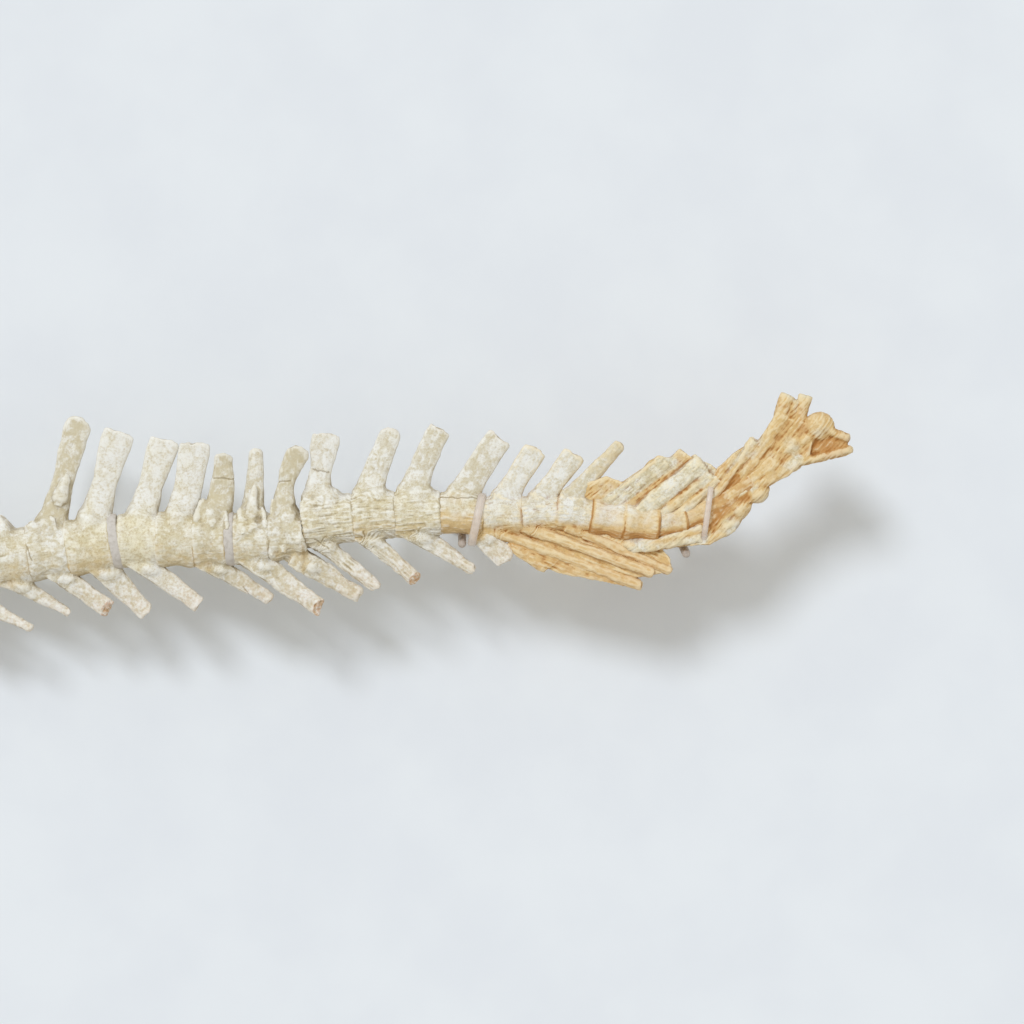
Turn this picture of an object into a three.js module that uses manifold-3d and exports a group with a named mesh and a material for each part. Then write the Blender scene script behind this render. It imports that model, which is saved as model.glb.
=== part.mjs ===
// End of a fossil mosasaur tail, lying on its side on the three short posts of its mount.
// Millimetres. +X runs to the tip of the tail, +Y to its dorsal side, +Z up from the floor.

import * as THREE from "three";
import { mergeVertices } from "three/addons/utils/BufferGeometryUtils.js";
import Module from "manifold-3d";

const wasm = await Module();
wasm.setup();

// Driving dimensions
const GAP = 0.3; // clearance between pieces that touch
const WELD = 0.8; // how far neighbouring centra of one length run into each other
const START = new THREE.Vector3(-485, -43.5, 66); // middle of the first centrum's front face
const CLIMB = 4; // degrees by which the column rises from the floor towards the tip
const CENTRUM_WIDTH = 0.92; // lateral width of a centrum, as a share of its height
const SPINE_DEPTH = 9; // lateral thickness of a neural spine at its waist
const ARCH_DEPTH = 0.62; // lateral width of the neural arch, as a share of the centrum's
// Length of the arch as a share of the centrum's, its loss and shift under a leaning spine, and its rise.
const ARCH = { base: 0.96, trim: 0.6, shift: 0.3, rise: 0.08 };
const CHEVRON_DEPTH = 9; // lateral thickness of a chevron below its fork
const CHEVRON_SINK = 11; // how deep a chevron's root lies under the centrum's lower edge

const POST = { foot: 17, footHeight: 4, stem: 4.5, pin: 3, seat: 1.2, armRadius: 3.4 };
const STRAP = { thickness: 1.2, segments: 8 };
const PARTING_BLOCK = { long: 400, tall: 300, deep: 160 };
const CANAL = { radius: 4, depth: 26 }; // neural canal where the first arch shows it

// A spine or chevron: where it stands along the centrum (share of the length), how far it reaches, its lean
// towards the tail from square (degrees), its bow towards the front, and its width at root, waist and tip.
const blade = (at, reach, lean, bow, root, waist, tip) => ({ at, reach, lean, bow, root, waist, tip });

// The vertebrae from front to back: length and height of the centrum, its slope in side view and its turn
// about its own axis (degrees), its step to the dorsal side, and the pad in the joint behind it.
const VERTEBRAE = [
  { length: 32, height: 49, slope: 4, roll: 2, spine: blade(0.45, 108, 10, 2, 32, 19, 23),
    chevron: blade(0.5, 58, 55, 0, 17, 14, 10) },
  { length: 33.5, height: 48, slope: 5, roll: -2, spine: blade(0.4, 46, 5, 0, 30, 24, 20),
    chevron: blade(0.25, 65.5, 58, 0, 16, 12, 8) },
  { length: 33, height: 46, slope: 7, roll: 3, spine: blade(0.22, 31, 0, 0, 24, 21, 18),
    chevron: blade(0.68, 46, 53, 0, 17, 12, 9) },
  { length: 31.5, height: 45, slope: 8.5, roll: -3, spine: blade(0.38, 111.5, 23, 0, 33, 17.5, 23),
    chevron: blade(0.81, 44.5, 46, 0, 18, 15, 14.5) },
  { length: 35, height: 46, slope: 9, roll: 1, pad: 7, spine: blade(0.46, 95, 24.5, 0.5, 33, 20, 27),
    chevron: blade(0.81, 46, 35, 0, 21, 19, 14.5) },
  { length: 31, height: 43.5, slope: 1.5, roll: -2, spine: blade(0.4, 84.5, 18, 0.5, 30, 20, 25),
    chevron: blade(0.74, 50, 52, 0, 20, 16.5, 13.5) },
  { length: 29.5, height: 45, slope: 0, roll: 2, spine: blade(0.48, 79.5, 11.5, -1.5, 29, 23, 25.5) },
  { length: 25, height: 45, slope: 2, roll: 5, pad: 7, spine: blade(0.4, 71, 12.5, -5, 26, 20, 16),
    chevron: blade(0.71, 50, 56, 0, 18, 15, 11) },
  { length: 28, height: 42.5, slope: 0, roll: -6, spine: blade(0.46, 71.5, 3.5, -0.5, 25, 15.5, 12),
    chevron: blade(0.8, 59.5, 53.5, 0, 20, 18.5, 14) },
  { length: 28, height: 41, slope: -1, roll: 6, spine: blade(0.62, 75.5, 6, 9, 26, 14, 19),
    chevron: blade(1.2, 46, 59, 0, 18, 17.5, 12) },
  { length: 40, height: 40, slope: 5.7, roll: 0, step: 13.3, spine: blade(0.2, 71, 14, 0.5, 28, 17.5, 23.5),
    chevron: blade(0.37, 54, 45.5, 0, 18, 14, 10.5) },
  { length: 33.7, height: 38, slope: 4.1, roll: -3, spine: blade(0.22, 73, 23, 2.5, 29, 20, 18),
    chevron: blade(0.37, 50, 45, 0, 18, 14, 12.5) },
  { length: 36, height: 36.5, slope: 2.5, roll: 2, spine: blade(0.28, 74, 23.5, 3, 30, 20, 19),
    chevron: blade(0.56, 51.5, 54, 0, 18, 14.5, 9.5) },
  { length: 35.3, height: 33.5, slope: -3.9, roll: -1, spine: blade(0.3, 71.5, 27.5, 1.5, 31, 22, 22),
    chevron: blade(1.06, 27, 46, 0, 17, 19, 18) },
  { length: 29.6, height: 30.5, slope: 1.5, roll: 2, spine: blade(0.32, 62.5, 33, 1, 27, 18.5, 20),
    chevron: blade(0.52, 117, 68, 0, 12, 10, 9.5) },
  { length: 28.8, height: 28, slope: 3.2, roll: -2, spine: blade(0.3, 60, 39, 0.5, 25, 17.5, 19),
    chevron: blade(0.41, 100, 67, 0, 12, 10, 9.5) },
  { length: 28.2, height: 28, slope: -6.5, roll: 0, spine: blade(0.1, 75, 35, 1.5, 24, 13.5, 10.5),
    chevron: blade(0.85, 75, 73, 0, 11, 9.5, 8.5) },
  { length: 25.9, height: 31, slope: -8.9, roll: 0 },
  { length: 26.5, height: 31, slope: -5.2, roll: 0 },
  { length: 22.8, height: 25, slope: 10.1, roll: 0 },
  { length: 19.8, height: 21, slope: 21.4, roll: 0 },
  { length: 19.4, height: 19, slope: 29.7, roll: 0 },
  { length: 22.2, height: 17.5, slope: 37.7, roll: 0 },
  { length: 23.9, height: 16, slope: 39.6, roll: 0 },
];

// The stone that holds the end together, as outlines in the side view with a thickness.
const STONE = [
  { thickness: 12, outline: [[38, 7], [62, 24], [76, 27], [88, 23], [112, 38], [134, 48], [162, 35],
    [160, 10], [154, -22], [100, -30], [54, -13]] }, // around the spines of the bundle
  { thickness: 8, outline: [[-10, -13], [3, -31], [25, -47], [41, -38], [100, -58], [105, -53], [127, -46],
    [125, -36], [102, -10], [6, -6]] }, // around its chevrons
  { thickness: 12, outline: [[150, 6], [165, 34], [196, 57], [214, 75], [236, 66], [264, 55], [250, 48],
    [222, 30], [203, 14], [186, -3], [158, -25], [142, -26]] }, // around the tip
];
// Rods and knobs that stand out of the stone on both sides: both ends, width there, and thickness.
const rod = (x1, y1, x2, y2, width1, width2, depth) => ({ x1, y1, x2, y2, width1, width2, depth });
const BUNDLE = [
  rod(70, -4, 127, 45, 18, 14, 18), // broad flat spine
  rod(95, -5, 156, 39, 13, 14, 21), // pale spine
  rod(119, -5, 161, 31, 9, 9, 20),
  rod(139, -2, 180, 45, 9, 7, 20),
  rod(91, -20, 153, -15, 11, 8, 16), // chevrons along the lower edge
  rod(92, -29, 151, -22, 9, 7, 15),
  rod(150, -18, 188, 2, 13, 11, 18),
  rod(160, 4, 195, 58, 11, 8, 19), // spines of the tip
  rod(178, 14, 219, 82, 12, 8, 18),
  rod(180, 10, 232, 40, 13, 12, 18), // lower edge of the tip
  rod(216, 72, 221.5, 93, 11, 13, 16), // upper knobs
  rod(227, 64, 235, 92, 11, 9, 15),
  rod(224, 62, 227, 90, 13, 10, 9),
  rod(236, 60, 253, 76, 21, 18, 18), // round plate
  rod(246, 66, 271, 57, 9, 6, 15), // upper half of the beak
  rod(220, 40, 272, 51, 10, 6, 15), // lower half of the beak
  rod(186, 7, 203, 17, 13, 11, 18), // lower knob
];

const SIDES = { centrum: 12, blade: 8, leg: 5, rod: 6, post: 14 };
const LENGTHS = [
  { name: "tail_length_1", first: 0, last: 4 },
  { name: "tail_length_2", first: 5, last: 7 },
  { name: "tail_length_3", first: 8, last: 9 },
  { name: "tail_length_4", first: 10, last: 13 },
  { name: "tail_length_5", first: 14, last: 20, bundle: true },
  { name: "tail_tip", first: 21, last: 23, bundle: true, tip: true },
];
const CARRIED = [1, 13, 19]; // the vertebrae that stand on a post
const STRAPS = [
  { name: "strap_1", vertebra: 13, at: 0.86, turn: -12, width: 7, dorsal: 20.5, lateral: 17.2, drop: 3.5 },
  { name: "strap_2", vertebra: 20, at: 0.99, turn: -8, width: 5, dorsal: 25, lateral: 13.2, drop: 0 },
];
const NUBS = [null, { along: 0, drop: 23 }, { along: 12.5, drop: 24.5 }]; // arm ends of the posts

const LATERAL = new THREE.Vector3(0, 0, 1);
const rad = THREE.MathUtils.degToRad;

// Shapes
function solid(geometry) {
  const bare = geometry.clone();
  bare.deleteAttribute("normal");
  bare.deleteAttribute("uv");
  const merged = mergeVertices(bare, 1e-4);
  const vertProperties = merged.attributes.position.array;
  const triVerts = new Uint32Array(merged.index.array);
  return new wasm.Manifold(new wasm.Mesh({ numProp: 3, vertProperties, triVerts }));
}

function geometryOf(manifold) {
  const { vertProperties, triVerts } = manifold.getMesh();
  const geometry = new THREE.BufferGeometry();
  geometry.setAttribute("position", new THREE.BufferAttribute(new Float32Array(vertProperties), 3));
  geometry.setIndex(new THREE.BufferAttribute(new Uint32Array(triVerts), 1));
  geometry.computeVertexNormals();
  return geometry;
}

// Reads a value from rows of [place, value], straight between them.
function profile(rows) {
  return (t) => {
    const next = Math.max(1, rows.findIndex(([place]) => place >= t));
    const [[t0, v0], [t1, v1]] = [rows[next - 1], rows[next]];
    return THREE.MathUtils.lerp(v0, v1, THREE.MathUtils.clamp((t - t0) / (t1 - t0), 0, 1));
  };
}

// A bar along a curve: width lies in the side view, depth across it; rings are its places on the curve.
// Swell makes it that much larger all round, for the room that clears it.
function bar(curve, width, depth, sides, rings, swell = 0) {
  const steps = rings.length - 1;
  const longer = swell / curve.getLength();
  const geometry = new THREE.CylinderGeometry(1, 1, 1, sides, steps);
  const corners = geometry.attributes.position;
  for (let i = 0; i < corners.count; i++) {
    const step = Math.round((corners.getY(i) + 0.5) * steps);
    const t = rings[step];
    const end = step === steps ? longer : 0;
    const along = curve.getTangent(t);
    const side = along.clone().cross(LATERAL).normalize();
    const point = curve
      .getPoint(step === 0 ? t - longer : t + end)
      .addScaledVector(side, corners.getX(i) * (width(t) / 2 + swell))
      .addScaledVector(side.clone().cross(along), corners.getZ(i) * (depth(t) / 2 + swell));
    corners.setXYZ(i, point.x, point.y, point.z);
  }
  return geometry;
}

function union(pieces) {
  return pieces.reduce((whole, piece) => whole.add(piece));
}

function largest(manifold) {
  return manifold.decompose().sort((a, b) => b.volume() - a.volume())[0];
}

// The column: each vertebra gets the frame of its centrum's front face, +X along it, +Y to its back edge.
function layColumn() {
  const place = START.clone();
  return VERTEBRAE.map((vertebra) => {
    place.y += vertebra.step ?? 0;
    const turn = new THREE.Euler(rad(vertebra.roll), -rad(CLIMB), rad(vertebra.slope), "ZYX");
    const matrix = new THREE.Matrix4().makeRotationFromEuler(turn).setPosition(place);
    const run = vertebra.length + (vertebra.pad ?? 0);
    place.add(new THREE.Vector3(run, 0, 0).applyEuler(turn));
    return { ...vertebra, matrix, width: vertebra.height * CENTRUM_WIDTH };
  });
}

function centrum({ length, height, width }, weldFront, weldBack, swell) {
  const front = new THREE.Vector3(weldFront ? -WELD : GAP / 2, 0, 0);
  const back = new THREE.Vector3(weldBack ? length + WELD : length - GAP / 2, 0, 0);
  const rings = [0, 0.1, 0.5, 0.9, 1];
  const spool = profile([[0, 0.88], [0.1, 1], [0.5, 0.86], [0.9, 1], [1, 0.88]]);
  const tall = (t) => height * spool(t);
  const broad = (t) => width * spool(t);
  return bar(new THREE.LineCurve3(front, back), tall, broad, SIDES.centrum, rings, swell);
}

// The middle line of a spine (way 1) or chevron (way -1), from its root to its tip.
function bladeLine({ at, reach, lean, bow }, vertebra, way) {
  const level = way > 0 ? 0 : -vertebra.height / 2;
  const out = new THREE.Vector3(Math.sin(rad(lean)), way * Math.cos(rad(lean)), 0);
  const edge = new THREE.Vector3(at * vertebra.length, level, 0);
  const tip = edge.clone().addScaledVector(out, reach);
  const root = edge.addScaledVector(out, way > 0 ? 0 : -CHEVRON_SINK);
  const middle = root.clone().lerp(tip, 0.5).add(new THREE.Vector3(-2 * bow, 0, 0));
  return new THREE.QuadraticBezierCurve3(root, middle, tip);
}

// Where a spine leaves its centrum, as a share of the spine's length.
function crownOf({ spine, height }) {
  return Math.min(0.8, (0.5 * height) / spine.reach);
}

// The arch that widens the root of a spine to most of its centrum's length.
function neuralArch(vertebra, swell) {
  const { spine, length, height, width } = vertebra;
  const half = height / 2;
  const off = spine.at * length + half * Math.tan(rad(spine.lean)) - length / 2;
  const middle = length / 2 + ARCH.shift * off;
  const base = ARCH.base * length - ARCH.trim * Math.abs(off);
  const shoulder = bladeLine(spine, vertebra, 1).getPoint(crownOf(vertebra) + ARCH.rise);
  const low = new THREE.Vector3(middle, 0.2 * half, 0);
  const bend = new THREE.Vector3(middle, 0.9 * half, 0);
  const wide = profile([[0, base], [0.5, 0.94 * base], [1, spine.waist]]);
  const deep = profile([[0, ARCH_DEPTH * width], [0.5, ARCH_DEPTH * width], [1, SPINE_DEPTH]]);
  const curve = new THREE.QuadraticBezierCurve3(low, bend, shoulder);
  return bar(curve, wide, deep, SIDES.blade, [0, 0.5, 1], swell);
}

function neuralSpine(vertebra, swell) {
  const { spine, width } = vertebra;
  const crown = crownOf(vertebra);
  const waist = THREE.MathUtils.lerp(crown, 1, 0.35);
  const rings = [0, crown, THREE.MathUtils.lerp(crown, waist, 0.5), waist, 0.9, 1];
  const sunk = Math.min(spine.root, 2 * spine.at * vertebra.length); // the root stays behind the front face
  const wide = profile([[0, sunk], [crown, spine.root], [waist, spine.waist], [0.9, spine.tip],
    [1, 0.9 * spine.tip]]);
  const deep = profile([[0, ARCH_DEPTH * width], [crown, ARCH_DEPTH * width], [waist, SPINE_DEPTH],
    [1, 0.85 * SPINE_DEPTH]]);
  return bar(bladeLine(spine, vertebra, 1), wide, deep, SIDES.blade, rings, swell);
}

// A chevron stands on two legs, one to each side of the blood vessels, that close into one rod.
function chevron(vertebra, swell) {
  const { reach, root, waist, tip } = vertebra.chevron;
  const line = bladeLine(vertebra.chevron, vertebra, -1);
  const fork = Math.min(0.5, (CHEVRON_SINK + 12) / (CHEVRON_SINK + reach));
  const wide = profile([[0, root], [fork, waist], [0.92, tip], [1, 0.8 * tip]]);
  const deep = profile([[0, CHEVRON_DEPTH], [1, 0.85 * CHEVRON_DEPTH]]);
  const stem = bar(line, wide, deep, SIDES.blade, [fork, 0.92, 1], swell);
  const legs = [-1, 1].map((side) => {
    const foot = line.getPoint(0).add(new THREE.Vector3(0, 0, side * 0.25 * vertebra.width));
    const top = line.getPoint(Math.min(0.9, 1.5 * fork));
    const legDepth = 0.62 * CHEVRON_DEPTH;
    return bar(new THREE.LineCurve3(foot, top), wide, () => legDepth, SIDES.leg, [0, 1], swell);
  });
  return [stem, ...legs];
}

// The solids of one vertebra in place, or with a swell the room that clears them.
function bones(vertebra, weldFront, weldBack, swell = 0) {
  const shapes = [centrum(vertebra, weldFront, weldBack, swell)];
  if (vertebra.spine) shapes.push(neuralArch(vertebra, swell), neuralSpine(vertebra, swell));
  if (vertebra.chevron) shapes.push(...chevron(vertebra, swell));
  return shapes.map((shape) => solid(shape.applyMatrix4(vertebra.matrix)));
}

// The column's height above the floor at a place along X.
function axisHeight(x) {
  return START.z + (x - START.x) * Math.tan(rad(CLIMB));
}

function rodShape({ x1, y1, x2, y2, width1, width2, depth }) {
  const from = new THREE.Vector3(x1, y1, axisHeight(x1));
  const to = new THREE.Vector3(x2, y2, axisHeight(x2));
  const wide = profile([[0, width1], [0.9, width2], [1, 0.75 * width2]]);
  const deep = profile([[0, depth], [0.9, 0.9 * depth], [1, 0.7 * depth]]);
  return bar(new THREE.LineCurve3(from, to), wide, deep, SIDES.rod, [0, 0.9, 1]);
}

// A plate of stone that climbs with the column.
function stonePlate({ thickness, outline }) {
  const shape = new THREE.Shape(outline.map(([x, y]) => new THREE.Vector2(x, y)));
  const plate = new THREE.ExtrudeGeometry(shape, { depth: thickness, bevelEnabled: false });
  const corners = plate.attributes.position;
  for (let i = 0; i < corners.count; i++) {
    corners.setZ(i, corners.getZ(i) - thickness / 2 + axisHeight(corners.getX(i)));
  }
  return plate;
}

// A ring round the column, for a strap or for the groove that clears it.
function ring({ at, turn, width, dorsal, lateral, drop }, vertebra, clearance) {
  const { thickness, segments } = STRAP;
  const outline = new THREE.Shape().absellipse(
    0, 0, lateral + thickness + clearance, dorsal + thickness + clearance, 0, 2 * Math.PI);
  outline.holes.push(new THREE.Path().absellipse(
    0, 0, lateral - clearance, dorsal - clearance, 0, 2 * Math.PI));
  const depth = width + 2 * clearance;
  const band = new THREE.ExtrudeGeometry(outline, { depth, bevelEnabled: false, curveSegments: segments });
  band.translate(0, 0, -depth / 2).rotateY(Math.PI / 2);
  const centre = new THREE.Vector3(at * vertebra.length, 0, 0).applyMatrix4(vertebra.matrix);
  return band.translate(0, -drop, 0).rotateZ(rad(turn)).translate(centre.x, centre.y, centre.z);
}

// A post: a flat foot, a stem, a pin that ends in a shallow seat in the bone, and an arm to the low side.
function post(vertebra, nub, clearance) {
  const centre = new THREE.Vector3(vertebra.length / 2, 0, 0).applyMatrix4(vertebra.matrix);
  const waistHalf = 0.86 * (vertebra.width / 2);
  const top = centre.z - waistHalf + POST.seat + clearance;
  const shoulder = top - 6;
  const turned = [[0, 0], [POST.foot, 0], [POST.foot, POST.footHeight - 1], [POST.foot - 1, POST.footHeight],
    [POST.stem + clearance, POST.footHeight + 1], [POST.stem + clearance, shoulder],
    [POST.pin + clearance, shoulder + 1.5], [POST.pin + clearance, top], [0, top]];
  const shape = new THREE.LatheGeometry(turned.map(([x, y]) => new THREE.Vector2(x, y)), SIDES.post);
  const pieces = [solid(shape.rotateX(Math.PI / 2).translate(centre.x, centre.y, 0))];
  if (nub) {
    const low = new THREE.Vector3(centre.x, centre.y, shoulder - 2);
    const bend = new THREE.Vector3(centre.x + nub.along, centre.y - nub.drop, shoulder);
    const end = new THREE.Vector3(bend.x, bend.y - 1, centre.z + 1 + 2 * clearance);
    const around = new THREE.Shape().absarc(0, 0, POST.armRadius + clearance, 0, 2 * Math.PI);
    const extrudePath = new THREE.QuadraticBezierCurve3(low, bend, end);
    pieces.push(solid(new THREE.ExtrudeGeometry(around, { extrudePath, steps: 8, curveSegments: 4 })));
  }
  return union(pieces);
}

// The block that cuts the bundle off straight under the second strap: behind it, way 1, or before it, -1.
function strapParting(strap, vertebra, way) {
  const centre = new THREE.Vector3(strap.at * vertebra.length, 0, 0).applyMatrix4(vertebra.matrix);
  const { long, tall, deep } = PARTING_BLOCK;
  const block = new THREE.BoxGeometry(long, tall, deep).translate((way * (long - GAP)) / 2, 0, 0);
  return solid(block.rotateZ(rad(strap.turn)).translate(centre.x, centre.y, centre.z));
}

// The pad in the joint behind a vertebra, or the room that clears it.
function padDisc({ length, height, width, pad, matrix }, clearance) {
  const front = new THREE.Vector3(length + GAP - clearance, 0, 0);
  const back = new THREE.Vector3(length + pad - GAP + clearance, 0, 0);
  const bulge = profile([[0, 0.9], [0.5, 0.96], [1, 0.9]]);
  const tall = (t) => height * bulge(t) + 2 * clearance;
  const broad = (t) => width * bulge(t) + 2 * clearance;
  const disc = bar(new THREE.LineCurve3(front, back), tall, broad, SIDES.centrum, [0, 0.5, 1]);
  return solid(disc.applyMatrix4(matrix));
}

const bone = new THREE.MeshStandardMaterial({ color: 0xe2dac2, roughness: 0.8, metalness: 0 });
const amberBone = new THREE.MeshStandardMaterial({ color: 0xd6bd8c, roughness: 0.75, metalness: 0 });
const jointPad = new THREE.MeshStandardMaterial({ color: 0xbfbaa8, roughness: 0.9, metalness: 0 });
const postPaint = new THREE.MeshStandardMaterial({ color: 0x8f8a86, roughness: 0.5, metalness: 0.3 });
const clearStrap = new THREE.MeshStandardMaterial({ color: 0xd6cabd, roughness: 0.35, metalness: 0 });

function named(name, manifold, material) {
  const mesh = new THREE.Mesh(geometryOf(manifold), material);
  mesh.name = name;
  return mesh;
}

const column = layColumn();
const grooves = STRAPS.map((strap) => solid(ring(strap, column[strap.vertebra], GAP)));
const sockets = CARRIED.map((index, i) => post(column[index], NUBS[i], GAP));
const padded = column.filter(({ pad }) => pad);
const padRooms = padded.map((vertebra) => padDisc(vertebra, GAP));

// The front face of the piece shows the hollow of its first centrum and the canal over it.
function frontOpenings(first) {
  const hollow = new THREE.SphereGeometry(1, 14, 8).scale(7, 0.4 * first.height, 0.4 * first.width);
  const canal = new THREE.CylinderGeometry(CANAL.radius, CANAL.radius, CANAL.depth, 10).rotateZ(Math.PI / 2);
  canal.translate(CANAL.depth / 2 - 6, 0.5 * first.height + CANAL.radius, 0);
  return [hollow, canal].map((shape) => solid(shape.applyMatrix4(first.matrix)));
}

function tailLength({ first, last, bundle, tip }) {
  const pieces = [];
  for (let i = first; i <= last; i++) {
    pieces.push(...bones(column[i], i > first || tip, i < last || bundle));
  }
  if (bundle) pieces.push(...STONE.map((piece) => solid(stonePlate(piece))));
  if (bundle) pieces.push(...BUNDLE.map((piece) => solid(rodShape(piece))));
  const cuts = [...grooves, ...sockets, ...padRooms];
  if (first === 0) cuts.push(...frontOpenings(column[0]));
  if (first > 0 && !tip) cuts.push(...bones(column[first - 1], false, false, GAP));
  if (bundle) cuts.push(strapParting(STRAPS[1], column[STRAPS[1].vertebra], tip ? -1 : 1));
  return largest(cuts.reduce((whole, cut) => whole.subtract(cut), union(pieces)));
}

const tail = new THREE.Group();
LENGTHS.forEach((length) => {
  tail.add(named(length.name, tailLength(length), length.bundle ? amberBone : bone));
});
padded.forEach((vertebra, i) => {
  tail.add(named(`joint_pad_${i + 1}`, padDisc(vertebra, 0), jointPad));
});
CARRIED.forEach((index, i) => {
  tail.add(named(`stand_post_${i + 1}`, post(column[index], NUBS[i], 0), postPaint));
});
STRAPS.forEach((strap) => {
  tail.add(named(strap.name, solid(ring(strap, column[strap.vertebra], 0)), clearStrap));
});

// The origin is on the floor, under the middle of the whole.
const box = new THREE.Box3().setFromObject(tail);
const middle = box.getCenter(new THREE.Vector3());
tail.children.forEach((mesh) => mesh.position.set(-middle.x, -middle.y, -box.min.z));

export default tail;
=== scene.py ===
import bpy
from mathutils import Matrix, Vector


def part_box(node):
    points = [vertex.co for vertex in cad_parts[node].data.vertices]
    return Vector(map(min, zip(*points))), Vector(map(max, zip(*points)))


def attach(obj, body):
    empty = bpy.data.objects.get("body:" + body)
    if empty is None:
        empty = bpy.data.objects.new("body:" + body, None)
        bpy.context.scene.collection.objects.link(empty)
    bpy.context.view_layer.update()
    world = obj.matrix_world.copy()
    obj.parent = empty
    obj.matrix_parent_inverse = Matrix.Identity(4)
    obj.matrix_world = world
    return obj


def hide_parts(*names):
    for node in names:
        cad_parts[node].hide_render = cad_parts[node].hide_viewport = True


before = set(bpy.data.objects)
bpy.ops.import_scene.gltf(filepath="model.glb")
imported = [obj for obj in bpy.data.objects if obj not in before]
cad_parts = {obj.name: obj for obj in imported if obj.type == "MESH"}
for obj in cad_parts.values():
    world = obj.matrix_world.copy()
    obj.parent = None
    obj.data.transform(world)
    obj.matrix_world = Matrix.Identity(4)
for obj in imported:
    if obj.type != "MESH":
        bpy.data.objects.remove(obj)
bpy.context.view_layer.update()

import math
from types import SimpleNamespace as Group
from typing import NamedTuple

import bpy
import numpy as np
from bpy.props import FloatProperty, FloatVectorProperty, IntProperty, PointerProperty
from mathutils import Euler, Matrix, Vector

bl_info = {
    "name": "Fossil tail",
    "version": (1, 0, 0),
    "blender": (4, 5, 0),
    "location": "View3D > Sidebar > Fossil tail",
    "description": "Builds the weathered bones of a mounted mosasaur tail",
    "category": "Object",
}

MM = 0.001

# The stage, in metres and linear colours
KEY_FROM = (-0.33, 0.58, 1.0)
KEY_COLOUR = (0.81, 0.885, 1.0)
SKY_COLOUR = (0.985, 1.0, 0.985, 1)
MIDDLE_HEIGHT = 0.1
FLOOR_HALF = 6.0
SENSOR_WIDTH = 36.0

# The column, in millimetres, degrees and shares: +X to the tip, +Y to the dorsal side, +Z up
START = (-485, -43.5, 66)
CLIMB = 4
CENTRUM_WIDTH = 0.92
RIM = ((0, 0.94), (0.04, 0.985), (0.12, 1))
JOINT_OVERLAP = 0.8
GOLDEN_OVERLAP = 1.6
SPINE = Group(depth=9, boxy=0.85, most_crown=0.8, waist=0.4, flare=0.35)
ARCH = Group(depth=0.8, base=0.96, trim=0.6, shift=0.3, rise=0.08)
CHEVRON = Group(sink=16, fork=12, most_fork=0.5)
LIMB = Group(depth=0.62, spread=0.2, end=1.5, last_end=0.9)
KNUCKLE = Group(long=0.62, short=0.4, deep=0.26, turn=-0.4, out=1)
RIDGE = Group(start=0.4, end=0.5, flat=0.8)

# Which vertebrae, counted from 0, differ from those before them
GOLDEN_FROM = 14
STAINED_SPINE_FROM = 16
CLOSED_JOINT_FROM = 20

# The vertebra that stands first in each solid of the tail
FIRST_OF_LENGTH = {
    0: "tail_length_1",
    5: "tail_length_2",
    8: "tail_length_3",
    10: "tail_length_4",
    14: "tail_length_5",
    21: "tail_tip",
}

# Broken ends: how raw a chevron is cut, then sizes and depths in millimetres
CUT_FROM = 0.85
CUT = Group(slant=0.9, depth=2, start=-0.5, full=0.2)
FRAY = Group(depth=2.2, size=9, fine=3.5, fine_share=0.4, zone=7)
RAW_RIM = Group(share=0.5, start=2, full=0.5)
CHEVRON_PORES = Group(share=0.25, start=0.2)

# Where a spine or chevron leaves the centrum: shares of half its height, and a wander in millimetres
ROOT = Group(spine=0.6, fade=0.7, near=0.5, far=0.8, wander=2.5, size=6, twist=0.4)

# Wear of every bone, and where shade and highlight are painted on it: sizes and heights in millimetres
RELAX = 0.5
RELAX_AND_SWELL = (0.5, -0.52)
FILLET_ROUNDS = 12
LAST_RELAX = 0.3
LUMP = Group(size=15, height=0.7)
DIMPLE = Group(size=5, height=0.2, more=0.2)
RIB = Group(length=7, width=1.3, height=0.1, more=0.36)
FINE_RIB = Group(scale=(1.7, 2, 1), share=0.5)
FOLD = Group(length=14, width=3, height=0.9, middle=0.4)
PIT = Group(size=2.2, start=0.5, depth=0.4, patch=14)
CHIP = Group(size=3, height=0.9)
# Cracks are pressed into the surface and also get painted shade along their line
CRACK = Group(depth=0.6, hollow=0.5, wander=0.9, size=4, near=0.2, far=0.7)
# How the relief value for painted light is measured: shade is painted in recesses, a highlight on crests
RELIEF_SHADE_AND_HIGHLIGHT = Group(near=1.3, near_rounds=4, wide=0.7, wide_rounds=40)
# Painted shade on faces that turn sideways: none where a face turns this far towards up or down, full where
# it turns fully sideways
SIDE_SHADE = Group(start=0.75, full=0.15)
CALM_SPINE = Group(lumps=0.4, wrinkle=0.7)

# Rods of the bundle: sway and slip in millimetres, shares of the width and depth given
ROD = Group(sway=3.5, slip=2, least=0.85, most=1.15, start=0.7, rise=0.3, round=0.8, boxy=0.9)
STONE = Group(lumps=0.8, wrinkle=0.6, fillets=2, cream=0.5, amber=0.6, olive=0.25, tilt=0.3, patch=9)
STAIN_EDGE = Group(far=1.2, rod=0.75, knob=0.7)

# Seeds of the noises, and the numbers that mix them
BONE_SEED_STEP = 31
BUNDLE_SEED = Group(first=300, step=97)
SEED = Group(
    dimple=3, root=5, crack=5, rib=7, fine_rib=8, fold=9, pit=11, pit_patch=12, chip=13, patch=21, fray=41,
    fine_fray=42, pad=70)
HASH = Group(x=374761393, y=668265263, z=2246822519, seed=3266489, limit=4294967291, mix=1274126177)
HASH_MIDDLE = 2147483647.5

# Limits that keep the arithmetic safe
TINY = 1e-12
LEAST_RADIUS = 0.01
LOOK_AHEAD = 0.01

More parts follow.
